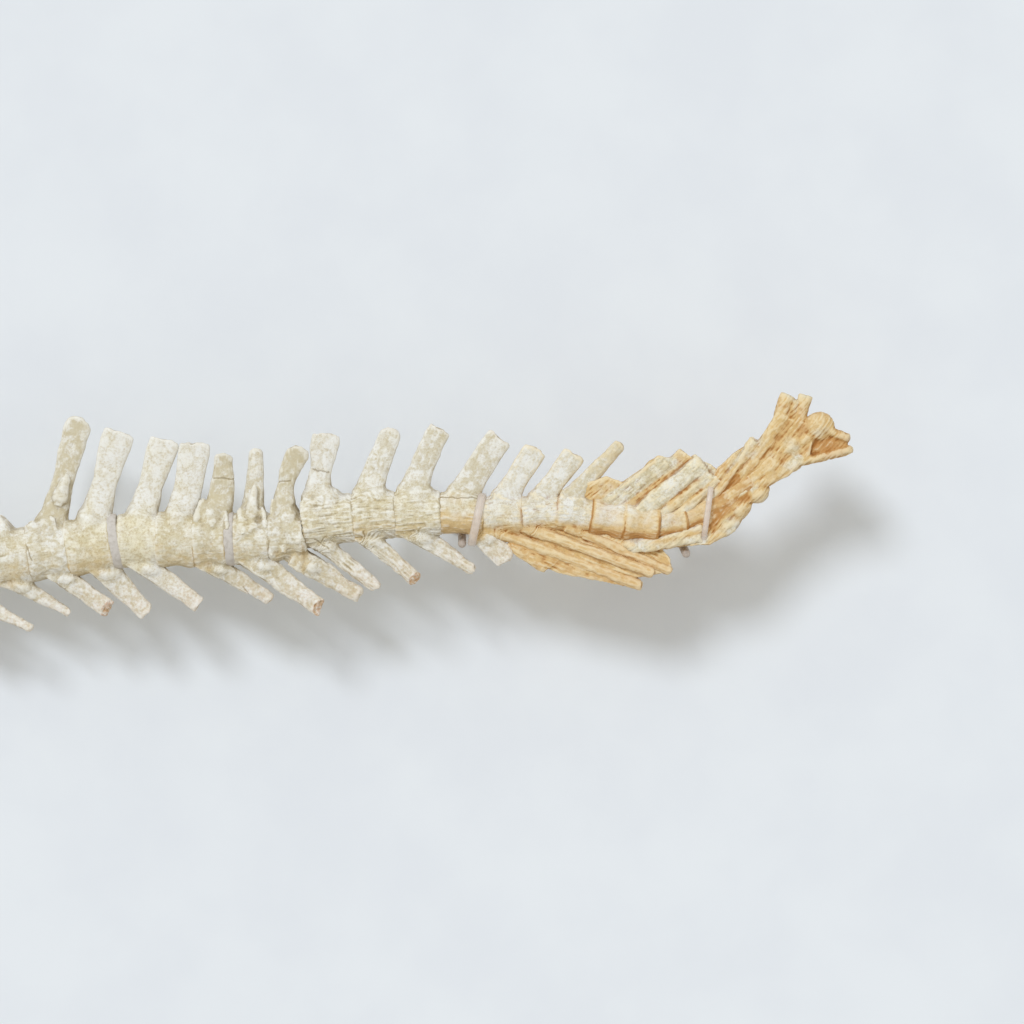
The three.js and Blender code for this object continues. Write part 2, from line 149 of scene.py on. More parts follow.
# Mount and filler
POST_VERTEBRAE = (1, 13, 19)
POST = Group(foot=17, foot_height=4, edge=1, stem=4.5, pin=3, seat=1.2, sunk=0.86, shoulder=6, bevel=1.5)
ARM = Group(radius=3.4, root=2, tip=1, round_from=0.93, round_length=0.075, least=0.02)
NUBS = (None, (0, 23), (12.5, 24.5))
STRAP = Group(thickness=1.2, trim=0.2, sides=72)
STRAP_PROFILE = ((-0.5, 0), (-0.42, 1), (0, 1.1), (0.42, 1), (0.5, 0), (0, -0.02))
PAD = Group(rim=0.94, middle=0.98, rounds=6, height=0.3, size=7)


class Blade(NamedTuple):
    """A spine or chevron: place, reach, lean, bow, its widths, how round and how raw its end is.

    The depth is a chevron's thickness across the side view.
    """

    at: float
    reach: float
    lean: float
    bow: float
    root: float
    waist: float
    tip: float
    round: float = 0.3
    raw: float = 0.2
    depth: float = 9


class Look(NamedTuple):
    """Shares of cream, amber and olive in a bone, of wrinkles and lumps, and of olive in its spine."""

    cream: float
    amber: float
    olive: float
    wrinkle: float
    lumps: float
    spine_olive: float


class Vertebra(NamedTuple):
    """A vertebra: length and height of its centrum, slope and roll in degrees, look, and what grows on it.

    Then the step to the dorsal side before it, the pad after it, and its waist, bulged ends and taper.
    """

    length: float
    height: float
    slope: float
    roll: float
    look: Look
    spine: Blade = None
    chevron: Blade = None
    step: float = 0
    pad: float = 0
    waist: float = 0.93
    bulge: float = 0
    taper: float = 0


class Rod(NamedTuple):
    """A rod or plate of the bundle: both ends, widths there, thickness, side offset, stains, round end."""

    x1: float
    y1: float
    x2: float
    y2: float
    width1: float
    width2: float
    depth: float
    side: float
    amber: float
    round: float = 0.35
    olive: float = 0.2


VERTEBRAE = [
    Vertebra(32, 49, 4, 2, Look(0.5, 0.2, 0.25, 0.2, 0.8, 0.2),
             Blade(0.45, 108, 10, 2, 32, 19, 23),
             Blade(0.5, 58, 55, 0, 17, 14, 10, 0.6)),
    Vertebra(33.5, 48, 5, -2, Look(0.5, 0.2, 0.25, 0.2, 0.8, 0.2),
             Blade(0.4, 46, 5, 0, 30, 24, 20, 0.5, 0.2),
             Blade(0.25, 65.5, 58, 0, 16, 12, 8, 0.9, 0)),
    Vertebra(33, 46, 7, 3, Look(0.4, 0.35, 0.25, 0.2, 1.1, 0.2),
             Blade(0.22, 31, 0, 0, 24, 21, 18, 0.4, 0.2),
             Blade(0.68, 46, 53, 0, 17, 12, 9, 0.4)),
    Vertebra(31.5, 45, 8.5, -3, Look(0.3, 0.2, 0.3, 0.2, 1.3, 0.55),
             Blade(0.38, 111, 23, 0, 33, 17.5, 22, 0.75, 0),
             Blade(0.81, 44.5, 46, 0, 18, 15, 14.5, 0.1, 1)),
    Vertebra(35, 46, 9, 1, Look(0.6, 0.4, 0.25, 0.1, 0.5, 0),
             Blade(0.46, 95, 24.5, 0.5, 33, 20, 26, 0.15, 0.1),
             Blade(0.81, 46, 35, 0, 21, 19, 14.5, 0.3, 0.4), pad=7),
    Vertebra(31, 43.5, 1.5, -2, Look(0.65, 0.12, 0.05, 0.1, 0.4, 0),
             Blade(0.4, 84.5, 18, 0.5, 30, 20, 25, 0.1, 0.1),
             Blade(0.74, 50, 52, 0, 20, 16.5, 13.5, 0.1, 0.3)),
    Vertebra(29.5, 45, 0, 2, Look(0.55, 0.35, 0.35, 0.15, 0.5, 0),
             Blade(0.48, 79.5, 11.5, -1.5, 29, 23, 25.5, 0.1, 0.1)),
    Vertebra(25, 45, 2, 5, Look(0.45, 0.35, 0.4, 0.25, 1.2, 0.65),
             Blade(0.4, 71, 12.5, -5, 26, 20, 16, 0.75, 0),
             Blade(0.71, 50, 56, 0, 18, 15, 11, 0.3, 0.8), pad=7),
    Vertebra(28, 42.5, 0, -6, Look(0.4, 0.25, 0.35, 0.3, 1.3, 0.35),
             Blade(0.46, 71.5, 3.5, -0.5, 25, 15.5, 12, 0.3, 0.1),
             Blade(0.8, 59.5, 53.5, 0, 20, 18.5, 14, 0.15, 0.9)),
    Vertebra(28, 41, -1, 6, Look(0.4, 0.3, 0.4, 0.35, 1.4, 0.58),
             Blade(0.62, 75.5, 6, 9, 26, 14, 19, 0.8, 0),
             Blade(1.2, 46, 59, 0, 18, 17.5, 12, 0.15, 0.2), taper=0.22),
    Vertebra(40, 40, 5.7, 0, Look(0.5, 0.15, 0.3, 1, 0.8, 0.1),
             Blade(0.2, 71, 14, 0.5, 28, 17.5, 23.5, 0.1, 0.2),
             Blade(0.37, 54, 45.5, 0, 18, 14, 10.5, 0.6, 0.3), step=13.3),
    Vertebra(33.7, 38, 4.1, -3, Look(0.5, 0.35, 0.35, 1, 0.8, 0.2),
             Blade(0.22, 73, 23, 2.5, 29, 20, 18, 0.5, 0.2),
             Blade(0.37, 50, 45, 0, 18, 14, 12.5, 0.1, 1)),
    Vertebra(36, 36.5, 2.5, 2, Look(0.6, 0.3, 0.3, 0.7, 0.8, 0.3),
             Blade(0.28, 74, 23.5, 3, 30, 20, 19, 0.1, 0.3),
             Blade(0.56, 51.5, 54, 0, 18, 14.5, 9.5, 0.8, 0.1)),
    Vertebra(35.3, 33.5, -3.9, -1, Look(0.5, 1, 0.2, 0.4, 0.5, 0.35),
             Blade(0.3, 71.5, 27.5, 1.5, 31, 22, 22, 0.15, 0.3),
             Blade(1.06, 27, 46, 0, 17, 19, 18, 0.5, 0.1)),
    Vertebra(29.6, 30.5, 1.5, 2, Look(0.35, 0.45, 0.1, 0.5, 0.5, 0),
             Blade(0.32, 62.5, 33, 1, 27, 18.5, 20, 0.3, 0.1),
             Blade(0.52, 117, 68, 0, 12, 10, 9.5, 0.3, 0.3, 13), waist=0.9, bulge=0.6),
    Vertebra(28.8, 28, 3.2, -2, Look(0.3, 0.45, 0.1, 0.5, 0.5, 0.1),
             Blade(0.3, 60, 39, 0.5, 25, 17.5, 19, 0.4, 0.1),
             Blade(0.41, 100, 67, 0, 12, 10, 9.5, 0.3, 0.3, 14), waist=0.88, bulge=1),
    Vertebra(28.2, 28, -6.5, 0, Look(0.3, 0.55, 0.1, 0.4, 0.5, 0.45),
             Blade(0.1, 75, 35, 1.5, 24, 13.5, 10.5, 0.6, 0.1),
             Blade(0.85, 75, 73, 0, 11, 9.5, 8.5, 0.4, 0.2, 13), waist=0.87, bulge=1.5),
    Vertebra(25.9, 31, -8.9, 0, Look(0.35, 1, 0, 0.3, 0.5, 0), waist=0.86, bulge=2),
    Vertebra(26.5, 31, -5.2, 0, Look(0.4, 1.15, 0, 0.3, 0.5, 0), waist=0.86, bulge=2.5),
    Vertebra(22.8, 25, 10.1, 0, Look(0.4, 1.1, 0.05, 0.3, 0.5, 0), waist=0.88, bulge=2),
    Vertebra(19.8, 21, 21.4, 0, Look(0.5, 1.5, 0.05, 0.3, 0.6, 0)),
    Vertebra(19.4, 19, 29.7, 0, Look(0.5, 3, 0.05, 0.3, 1.2, 0)),
    Vertebra(22.2, 17.5, 37.7, 0, Look(0.5, 2.7, 0.05, 0.3, 1.2, 0)),
    Vertebra(23.9, 16, 39.6, 0, Look(0.5, 1.8, 0.05, 0.3, 1.2, 0)),
]


class Ridge(NamedTuple):
    """A raised ridge on the upper side of a vertebra: both ends, with the widths and heights there."""

    vertebra: int
    x1: float
    y1: float
    x2: float
    y2: float
    width1: float
    width2: float
    height1: float
    height2: float


RIDGES = [
    Ridge(3, -357, 30, -364.5, 5, 8, 13, 3, 8),
    Ridge(3, -370, -3, -365, -18, 6, 6, 11, 15.5),
    Ridge(3, -385, -7, -381, -28, 15, 17, 8, 13),
    Ridge(7, -247, 11, -253, -8, 6, 7, 6.5, 17),
    Ridge(7, -237, 6, -240, -12, 6, 8, 10.5, 19),
    Ridge(7, -231, 2, -228, -14, 5, 6, 10.5, 20),
    Ridge(8, -206, 22, -209, -9, 6, 11, 5.5, 15.5),
    Ridge(8, -209, -9, -206, -16, 11, 12, 14.5, 17.5),
    Ridge(8, -200, 4, -197, -13, 5, 6, 9.5, 19),
    Ridge(8, -218, 4, -215, -18, 6, 7, 8.5, 20),
    Ridge(9, -192, 10, -192, -35, 4, 5, 6.5, 14.5),
    Ridge(9, -182, 8, -183, -33, 9, 11, 9.5, 14),
    Ridge(9, -176, 5, -171, -25, 6, 8, 7.5, 18),
    Ridge(9, -190, -22, -173, -38, 14, 13, 2, 2),
]


class Crack(NamedTuple):
    """A crack across a bone: both ends in the side view."""

    vertebra: int
    x1: float
    y1: float
    x2: float
    y2: float


CRACKS = [
    Crack(3, -395, -15, -384, -39),
    Crack(7, -240, 27.5, -221, 26.5),
    Crack(7, -216, -60, -209, -68),
    Crack(9, -193, 24, -177, 25),
    Crack(10, -160, 34, -146, 32),
    Crack(10, -158, -22, -146, -30),
    Crack(13, -58, 12, -20, 11),
]


class Knob(NamedTuple):
    """A rounded lump of the bundle: middle, three radii, its turn in the side view, amber share."""

    x: float
    y: float
    long: float
    short: float
    deep: float
    turn: float
    amber: float


class Mass(NamedTuple):
    """Bones pressed into a lump of stone: thickness, grain, amber and outline of the stone, rods, knobs.

    Paired rods lie on both sides of the middle plane, and those across run through it.
    """

    name: str
    thickness: float
    grain: float
    stain: float
    outline: tuple
    paired: tuple
    across: tuple = ()
    knobs: tuple = ()


MASSES = [
    Mass("sheaf_of_spines", 9, 40, 0.9,
         ((38, 7), (62, 24), (76, 28), (88, 23.5), (99, 29), (110, 41), (117, 44.5), (126, 43.5),
          (134, 50), (142, 44.5), (159, 38), (163, 34), (161, 10), (155, -22), (100, -31), (54, -13)),
         (Rod(66, -2, 125, 40, 14, 14, 8, 2.5, 0.15, 0.8, 0.35),
          Rod(78, 12, 116, 41, 4, 5, 6, 4, 0.1),
          Rod(96, -5, 153, 39.5, 13, 16, 10, 6.5, 0, 0.2, 0.1),
          Rod(115, -5, 160, 30, 8, 10, 9, 6, 0.3),
          Rod(133, -4, 166, 27, 8, 8, 8, 6, 0.4),
          Rod(124, -7, 157, 17, 5, 5, 6, 6.5, 0.5),
          Rod(101, -25, 153, -12.5, 6, 6.5, 7, 6, 0.2),
          Rod(96, -30, 152, -20.5, 8, 8, 8, 5.5, 0.15)),
         knobs=(Knob(96, -27, 9, 6, 9, -15, 0.2),)),
    Mass("fan_of_chevrons", 6, -22, 1.1,
         ((-10, -13), (3, -31), (25, -48), (33, -43), (42, -34), (100, -52), (106, -52), (128, -47),
          (126, -36), (102, -10), (6, -6)),
         (),
         (Rod(-2, -24, 28, -45, 12, 10, 9, 0, 1.3, 0.2),
          Rod(10, -26, 100, -50, 30, 24, 3, 0, 1.25))),
    Mass("end_of_tail", 13, 50, 1.35,
         ((150, 6), (164, 35), (178, 48), (197, 58), (214, 76), (238, 70), (240, 58), (238, 46),
          (220, 29), (205, 22), (188, 5), (177, -9), (158, -26), (142, -27)),
         (Rod(150, 6, 180, 46, 6, 7, 7, 5, 0.6, 0.3, 0.4),
          Rod(158, 8, 194.5, 58, 8, 10, 10, 5, 0.3, 0.1),
          Rod(176, 19, 217, 79, 11, 10, 9, 4.5, 0.75, 0.2),
          Rod(168, 0, 220, 52, 17, 14, 7, 4, 1.15),
          Rod(148, -14, 184, 4, 13, 12, 7, 4, 1.2),
          Rod(150, -24, 178, -11, 8, 8, 8, 4, 0.4, 0.7),
          Rod(184, 14, 229, 42, 9, 10, 9, 4, 0.5, 0.8),
          Rod(163, 0, 178, 27, 14, 10, 3, 4.5, 2.2),
          Rod(158, -9, 190, 14, 8, 7, 3, 5, 2)),
         (Rod(214, 66, 220.5, 93.5, 10, 12, 15, 0, 0.35, 0.08),
          Rod(226, 60, 234.5, 93, 10, 11, 13, 0, 0.45, 0.15),
          Rod(223, 58, 228, 89, 13, 11, 10, 0, 0.7, 0.3, 0.5),
          Rod(242, 70, 270, 58, 9, 7, 14, 0, 0.5, 0.6),
          Rod(206, 35, 272, 50.5, 8, 6, 14, 0, 0.4, 0.6),
          Rod(232, 54, 268, 54, 26, 9, 7, 0, 1.6)),
         (Knob(245.4, 68.4, 12.5, 11.5, 11, 20, 0.8),
          Knob(208, 36, 13, 8, 9.5, 55, 0.8),
          Knob(223, 53, 14, 8, 9, 50, 0.6),
          Knob(234, 58, 9, 7, 9, 30, 0.5),
          Knob(197, 14.7, 9.5, 7.5, 10, 30, 0.2),
          Knob(183, 2, 10, 7, 9.5, 45, 0.9),
          Knob(173, -11, 12, 6.5, 9, 40, 0.3))),
]


class Strap(NamedTuple):
    """A strap: its vertebra and place there, turn in degrees, width, reach up and sideways, and drop."""

    name: str
    vertebra: int
    at: float
    turn: float
    width: float
    dorsal: float
    lateral: float
    drop: float


STRAPS = (
    Strap("strap_1", 13, 0.86, -12, 7, 20.5, 17.2, 3.5),
    Strap("strap_2", 20, 0.99, -8, 5, 25, 13.2, 0),
)


# Noise and mesh arithmetic
def lattice(corner, seed):
    """A repeatable value from -1 to 1 for each corner of the unit grid."""
    x, y, z = (corner[:, i].astype(np.uint32) for i in range(3))
    mixed = x * np.uint32(HASH.x) + y * np.uint32(HASH.y) + z * np.uint32(HASH.z)
    mixed = mixed + np.uint32(seed * HASH.seed % HASH.limit)
    mixed = (mixed ^ (mixed >> np.uint32(13))) * np.uint32(HASH.mix)
    mixed = mixed ^ (mixed >> np.uint32(16))
    return mixed.astype(np.float64) / HASH_MIDDLE - 1


def noise(points, size, seed):
    """Smooth noise from -1 to 1 with features of about that size."""
    scaled = points / np.asarray(size, float)
    base = np.floor(scaled).astype(np.int64)
    part = scaled - base
    ease = part * part * (3 - 2 * part)
    total = np.zeros(len(points))
    for corner in np.ndindex(2, 2, 2):
        weight = np.prod(np.where(np.array(corner), ease, 1 - ease), axis=1)
        total += weight * lattice(base + np.array(corner), seed)
    return total


def fractal(points, size, seed, octaves=3):
    """Noise with finer noise added at half size and half strength."""
    size = np.asarray(size, float)
    return sum(noise(points, size / 2**i, seed + i) / 2**i for i in range(octaves))


def smoothstep(low, high, value):
    """0 before low, 1 past high, eased between; low may be the greater."""
    share = np.clip((value - low) / (high - low), 0, 1)
    return share * share * (3 - 2 * share)


def neighbours(quads):
    """Each point and each point beside it, as two rows."""
    one = quads.ravel()
    two = np.roll(quads, -1, axis=1).ravel()
    return np.concatenate([one, two]), np.concatenate([two, one])


def smoothed(points, links, rounds, *factors):
    """Draws each point to the mean of its neighbours, or away from it for a factor below 0."""
    at, other = links
    count = np.bincount(at, minlength=len(points))
    for step in range(rounds * len(factors)):
        mean = np.stack([np.bincount(at, points[other, i], len(points)) / count for i in range(3)], 1)
        points = points + factors[step % len(factors)] * (mean - points)
    return points


def filleted(points, quads, links, passes):
    """Fills the inner corners of a fused surface and leaves its outer edges as they are."""
    for _ in range(passes):
        out = normals(points, quads)
        gap = np.einsum("ij,ij->i", smoothed(points, links, FILLET_ROUNDS, RELAX) - points, out)
        points = points + out * np.maximum(gap, 0)[:, None]
    return points


def normals(points, quads):
    """The outward direction at each point."""
    face = np.cross(points[quads[:, 2]] - points[quads[:, 0]], points[quads[:, 3]] - points[quads[:, 1]])
    total = np.zeros_like(points)
    for i in range(3):
        total[:, i] = np.bincount(quads.ravel(), np.repeat(face[:, i], 4), len(points))
    return total / np.maximum(np.linalg.norm(total, axis=1, keepdims=True), TINY)


# Draft shapes
def tube_faces(rings, sides):
    """Faces of a closed tube whose points lie ring by ring."""
    faces = [list(range(sides))[::-1], [(rings - 1) * sides + i for i in range(sides)]]
    for ring in range(rings - 1):
        for i in range(sides):
            j = (i + 1) % sides
            here, there = ring * sides, (ring + 1) * sides
            faces.append([here + i, here + j, there + j, there + i])
    return faces


class Draft:
    """Closed shapes that are gathered and then fused into one surface."""

    def __init__(self):
        self.points = []
        self.faces = []
        self.count = 0

    def add(self, points, faces):
        self.points.append(np.asarray(points, float))
        self.faces += [[self.count + i for i in face] for face in faces]
        self.count += len(points)

    def bar(self, line, width, depth, rings=28, sides=28, boxy=1.0):
        """A bar along a line: width lies in the side view, depth across it."""
        t = np.linspace(0, 1, rings)
        middle = line(t)
        ahead = t + LOOK_AHEAD
        along = line(ahead) - line(ahead - 2 * LOOK_AHEAD)
        along /= np.linalg.norm(along, axis=1, keepdims=True)
        side = np.cross(along, (0, 0, 1))
        side /= np.linalg.norm(side, axis=1, keepdims=True)
        across = np.cross(side, along)
        turn = np.linspace(0, 2 * math.pi, sides, endpoint=False)
        sine = np.sign(np.sin(turn)) * np.abs(np.sin(turn)) ** boxy
        cosine = np.sign(np.cos(turn)) * np.abs(np.cos(turn)) ** boxy
        points = (
            middle[:, None]
            + side[:, None] * (width(t) / 2)[:, None, None] * sine[None, :, None]
            + across[:, None] * (depth(t) / 2)[:, None, None] * cosine[None, :, None]
        )
        self.add(points.reshape(-1, 3), tube_faces(rings, sides))

    def ball(self, middle, radii, turn, rings=24, sides=32):
        """A ball with three radii, turned in the side view."""
        slope = np.linspace(0, math.pi, rings)[:, None]
        around = np.linspace(0, 2 * math.pi, sides, endpoint=False)[None]
        reach = np.maximum(np.sin(slope), LEAST_RADIUS)
        rise = np.cos(slope) + 0 * around
        local = np.stack([reach * np.cos(around), reach * np.sin(around), rise], 2) * radii
        cosine, sine = math.cos(math.radians(turn)), math.sin(math.radians(turn))
        turned = local @ np.array(((cosine, sine, 0), (-sine, cosine, 0), (0, 0, 1)))
        points = turned + np.asarray(middle, float)
        self.add(points.reshape(-1, 3), tube_faces(rings, sides))

    def plate(self, outline, thickness, height):
        """A flat plate with that outline, whose middle lies at a height read along X."""
        corners = np.array(outline, float)
        level = np.array([height(x) for x in corners[:, 0]])
        count = len(corners)
        rows = [np.column_stack([corners, level + side * thickness / 2]) for side in (1, -1)]
        faces = [list(range(count))[::-1], list(range(count, 2 * count))]
        for i in range(count):
            j = (i + 1) % count
            faces.append([i, j, count + j, count + i])
        self.add(np.concatenate(rows), faces)

    def fuse(self, voxel):
        """The outer surface of all shapes, as points and quads."""
        mesh = bpy.data.meshes.new("draft")
        mesh.from_pydata(np.concatenate(self.points).tolist(), [], self.faces)
        draft = bpy.data.objects.new("draft", mesh)
        bpy.context.scene.collection.objects.link(draft)
        remesh = draft.modifiers.new("fuse", "REMESH")
        remesh.mode = "VOXEL"
        remesh.voxel_size = voxel
        fused = draft.evaluated_get(bpy.context.evaluated_depsgraph_get()).to_mesh()
        points = np.empty(len(fused.vertices) * 3)
        fused.vertices.foreach_get("co", points)
        quads = np.empty(len(fused.loops), np.int32)
        fused.loops.foreach_get("vertex_index", quads)
        bpy.data.objects.remove(draft)
        bpy.data.meshes.remove(mesh)
        if len(quads) < 4:
            raise RuntimeError("a draft shape came out empty")
        return points.reshape(-1, 3), quads.reshape(-1, 4)


def through(*rows):
    """Reads a value from rows of (place, value), eased between them."""
    places = np.array([row[0] for row in rows], float)
    values = np.array([row[1] for row in rows], float)

    def read(t):
        t = np.clip(t, places[0], places[-1])
        i = np.clip(np.searchsorted(places, t, side="right") - 1, 0, len(places) - 2)
        share = (t - places[i]) / (places[i + 1] - places[i])
        share = share * share * (3 - 2 * share)
        return values[i] + (values[i + 1] - values[i]) * share

    return read


def tapered_end(width, length, roundness):
    """The width near the end of a bar: a flat end for 0, a full dome for 1."""
    def read(t):
        from_end = (1 - t) * length
        radius = np.maximum(width(t) / 2 * roundness, LEAST_RADIUS)
        inside = np.clip(1 - from_end / radius, 0, 1)
        return width(t) * (1 - roundness * (1 - np.sqrt(np.maximum(1 - inside**2, 0))))

    return read


def straight(a, b):
    """The straight line from a to b, read at 0 to 1."""
    a, b = np.asarray(a, float), np.asarray(b, float)
    return lambda t: a + np.outer(t, b - a)


def bent(a, b, c):
    """The curve from a to c that is drawn towards b, read at 0 to 1."""
    a, b, c = (np.asarray(p, float) for p in (a, b, c))
    return lambda t: np.outer((1 - t) ** 2, a) + np.outer(2 * t * (1 - t), b) + np.outer(t**2, c)


# The column
def lay_column():
    """The frame of each vertebra's front face, in millimetres, before the shift to the part's origin."""
    place = Vector(START)
    frames = []
    for bone in VERTEBRAE:
        place.y += bone.step
        angles = (math.radians(bone.roll), -math.radians(CLIMB), math.radians(bone.slope))
        turn = Euler(angles, "XYZ").to_matrix()
        frames.append(Matrix.Translation(place) @ turn.to_4x4())
        place = place + turn @ Vector((bone.length + bone.pad, 0, 0))
    return frames


FRAMES = lay_column()


def middle_of(index):
    """The middle of a centrum."""
    return FRAMES[index] @ Vector((VERTEBRAE[index].length / 2, 0, 0))


def find_shift():
    """From the column's millimetres to the part's origin, read off the first post."""
    low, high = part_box("stand_post_1")
    centre = (low + high) / 2 / MM
    standing = middle_of(POST_VERTEBRAE[0])
    return Vector((centre.x - standing.x, centre.y - standing.y, low.z / MM))


SHIFT = find_shift()


def axis_height(x):
    """The height of the column's axis, which climbs towards the tip."""
    return START[2] + (x - START[0]) * math.tan(math.radians(CLIMB))


def blade_line(blade, bone, way):
    """The root, the direction, the length and the middle line of a spine (way 1) or chevron (way -1)."""
    lean = math.radians(blade.lean)
    out = np.array((math.sin(lean), way * math.cos(lean), 0))
    edge = np.array((blade.at * bone.length, 0 if way > 0 else -bone.height / 2, 0))
    sink = 0 if way > 0 else CHEVRON.sink
    root, tip = edge - sink * out, edge + blade.reach * out
    return root, out, blade.reach + sink, bent(root, (root + tip) / 2 - (2 * blade.bow, 0, 0), tip)


def draft_vertebra(index):
    """The closed shapes of one vertebra in its own frame."""
    bone = VERTEBRAE[index]
    draft = Draft()
    wide = bone.height * CENTRUM_WIDTH
    spool = through(*RIM, (0.5, bone.waist), *((1 - place, share) for place, share in reversed(RIM)))
    overlap = JOINT_OVERLAP if index < GOLDEN_FROM else GOLDEN_OVERLAP
    lift = bone.taper * bone.height / 2
    axis = straight((-overlap, 0, 0), (bone.length + overlap, lift, 0))
    draft.bar(axis, lambda t: bone.height * spool(t) * (1 - bone.taper * t), lambda t: wide * spool(t),
              rings=36, sides=48)
    if bone.spine:
        draft_spine(draft, bone, wide)
    if bone.chevron:
        draft_chevron(draft, bone, wide)
    back = np.array(FRAMES[index].inverted())
    for ridge in (ridge for ridge in RIDGES if ridge.vertebra == index):
        ends = [(ridge.x1, ridge.y1, axis_height(ridge.x1) + ridge.height1, 1),
                (ridge.x2, ridge.y2, axis_height(ridge.x2) + ridge.height2, 1)]
        start, end = ((back @ np.array(point))[:3] for point in ends)
        width = through((0, ridge.width1 * RIDGE.start), (0.2, ridge.width1),
                        (0.8, ridge.width2), (1, ridge.width2 * RIDGE.end))
        draft.bar(straight(start, end), width, lambda t: RIDGE.flat * width(t), rings=24, sides=20)
    return draft


def draft_spine(draft, bone, wide):
    """A spine that starts on the axis, and the arch that carries it."""
    blade, half = bone.spine, bone.height / 2
    crown = min(SPINE.most_crown, half / blade.reach)
    waist = crown + SPINE.waist * (1 - crown)
    sunk = min(blade.root, 2 * blade.at * bone.length)
    flare = crown + SPINE.flare * (waist - crown)
    shoulder_depth = ARCH.depth * wide
    width = through((0, sunk), (crown, 0.9 * blade.root), (flare, 0.3 * blade.root + 0.7 * blade.waist),
                    (waist, blade.waist), (0.9, blade.tip), (1, blade.tip * 0.97))
    depth = through((0, 0.92 * wide), (0.8 * crown, shoulder_depth), (1.1 * crown, 0.66 * ARCH.depth * wide),
                    (max(waist, 1.2 * crown), SPINE.depth), (1, 0.85 * SPINE.depth))
    _, _, length, line = blade_line(blade, bone, 1)
    draft.bar(line, tapered_end(width, length, blade.round), depth, rings=60, boxy=SPINE.boxy)
    off = blade.at * bone.length + half * math.tan(math.radians(blade.lean)) - bone.length / 2
    middle = bone.length / 2 + ARCH.shift * off
    base = ARCH.base * bone.length - ARCH.trim * abs(off)
    shoulder = crown + ARCH.rise
    arch = bent((middle, 0.2 * half, 0), (middle, 0.9 * half, 0), line(np.array([shoulder]))[0])
    arch_width = through((0, base), (0.5, 0.94 * base), (1, blade.waist))
    arch_depth = through((0, 0.92 * wide), (0.6, shoulder_depth), (1, depth(np.array([shoulder]))[0]))
    draft.bar(arch, arch_width, arch_depth, rings=30, boxy=SPINE.boxy)


def draft_chevron(draft, bone, wide):
    """A chevron with two limbs at its root and a knuckle under the centrum."""
    blade = bone.chevron
    root, out, length, line = blade_line(blade, bone, -1)
    fork = min(CHEVRON.most_fork, (CHEVRON.sink + CHEVRON.fork) / length)
    width = through((0, blade.root), (fork, blade.waist), (0.92, blade.tip), (1, 0.95 * blade.tip))
    depth = through((0, blade.depth), (1, 0.9 * blade.depth))
    draft.bar(line, tapered_end(width, length, blade.round), depth, rings=60, boxy=ROD.boxy)
    top = line(np.array([min(LIMB.last_end, LIMB.end * fork)]))[0]
    for side in (-1, 1):
        foot = root + (0, 0, side * LIMB.spread * wide)
        draft.bar(straight(foot, top), width, lambda t: LIMB.depth * blade.depth + 0 * t)
    edge = root + (CHEVRON.sink + KNUCKLE.out) * out
    radii = (KNUCKLE.long * blade.root, KNUCKLE.short * blade.root, KNUCKLE.deep * wide)
    draft.ball(edge, radii, KNUCKLE.turn * blade.lean)


def cut_end(points, root, out, length):
    """Cuts a broken blade off at a slant; returns the points and how much each lies on the cut."""
    face = (out + np.array((0, 0, CUT.slant))) / math.hypot(1, CUT.slant)
    past = (points - root - (length - CUT.depth) * out) @ face
    return points - np.outer(np.maximum(past, 0), face), smoothstep(CUT.start, CUT.full, past)


def break_blades(bone, points, seed):
    """Cuts and frays the ends of the spine and the chevron.

    Returns the points, their places along and around the fibres, how raw and how porous they are,
    and how much they belong to the spine (1) and to the chevron (-1).
    """
    half = bone.height / 2
    along = points[:, 0].copy()
    around = np.arctan2(points[:, 2], points[:, 1]) * half
    raw = np.zeros(len(points))
    porous = np.zeros(len(points))
    shares = {1: np.zeros(len(points)), -1: np.zeros(len(points))}
    for blade, way in ((bone.spine, 1), (bone.chevron, -1)):
        if not blade:
            continue
        root, out, length, _ = blade_line(blade, bone, way)
        if way < 0 and blade.raw >= CUT_FROM:
            points, cut = cut_end(points, root, out, length)
            raw = np.maximum(raw, blade.raw * cut)
        reach = (points - root) @ out
        coarse = noise(points, FRAY.size, seed + SEED.fray)
        fine = noise(points, FRAY.fine, seed + SEED.fine_fray)
        ragged = FRAY.depth * coarse + FRAY.fine_share * FRAY.depth * fine
        points = points + np.outer(ragged * smoothstep(length - FRAY.zone, length, reach), out)
        across = (points - root) @ np.array((-out[1], out[0], 0))
        start = ROOT.spine * half if way > 0 else 0.5 * CHEVRON.sink
        wander = ROOT.wander * noise(points, ROOT.size, seed + SEED.root)
        share = smoothstep(start, start + ROOT.fade * half, reach + wander)
        share = share * smoothstep(ROOT.near * half, ROOT.far * half, way * points[:, 1])
        along = along * (1 - share) + share * reach
        around = around * (1 - share) + share * (across + ROOT.twist * points[:, 2])
        rim = smoothstep(length - RAW_RIM.start, length - RAW_RIM.full, reach)
        raw = np.maximum(raw, RAW_RIM.share * blade.raw * rim)
        shares[way] = share
        if way < 0:
            outer = smoothstep(CHEVRON_PORES.start * length, length, reach)
            porous = CHEVRON_PORES.share * share * outer
    return points, (along, around), raw, porous, shares


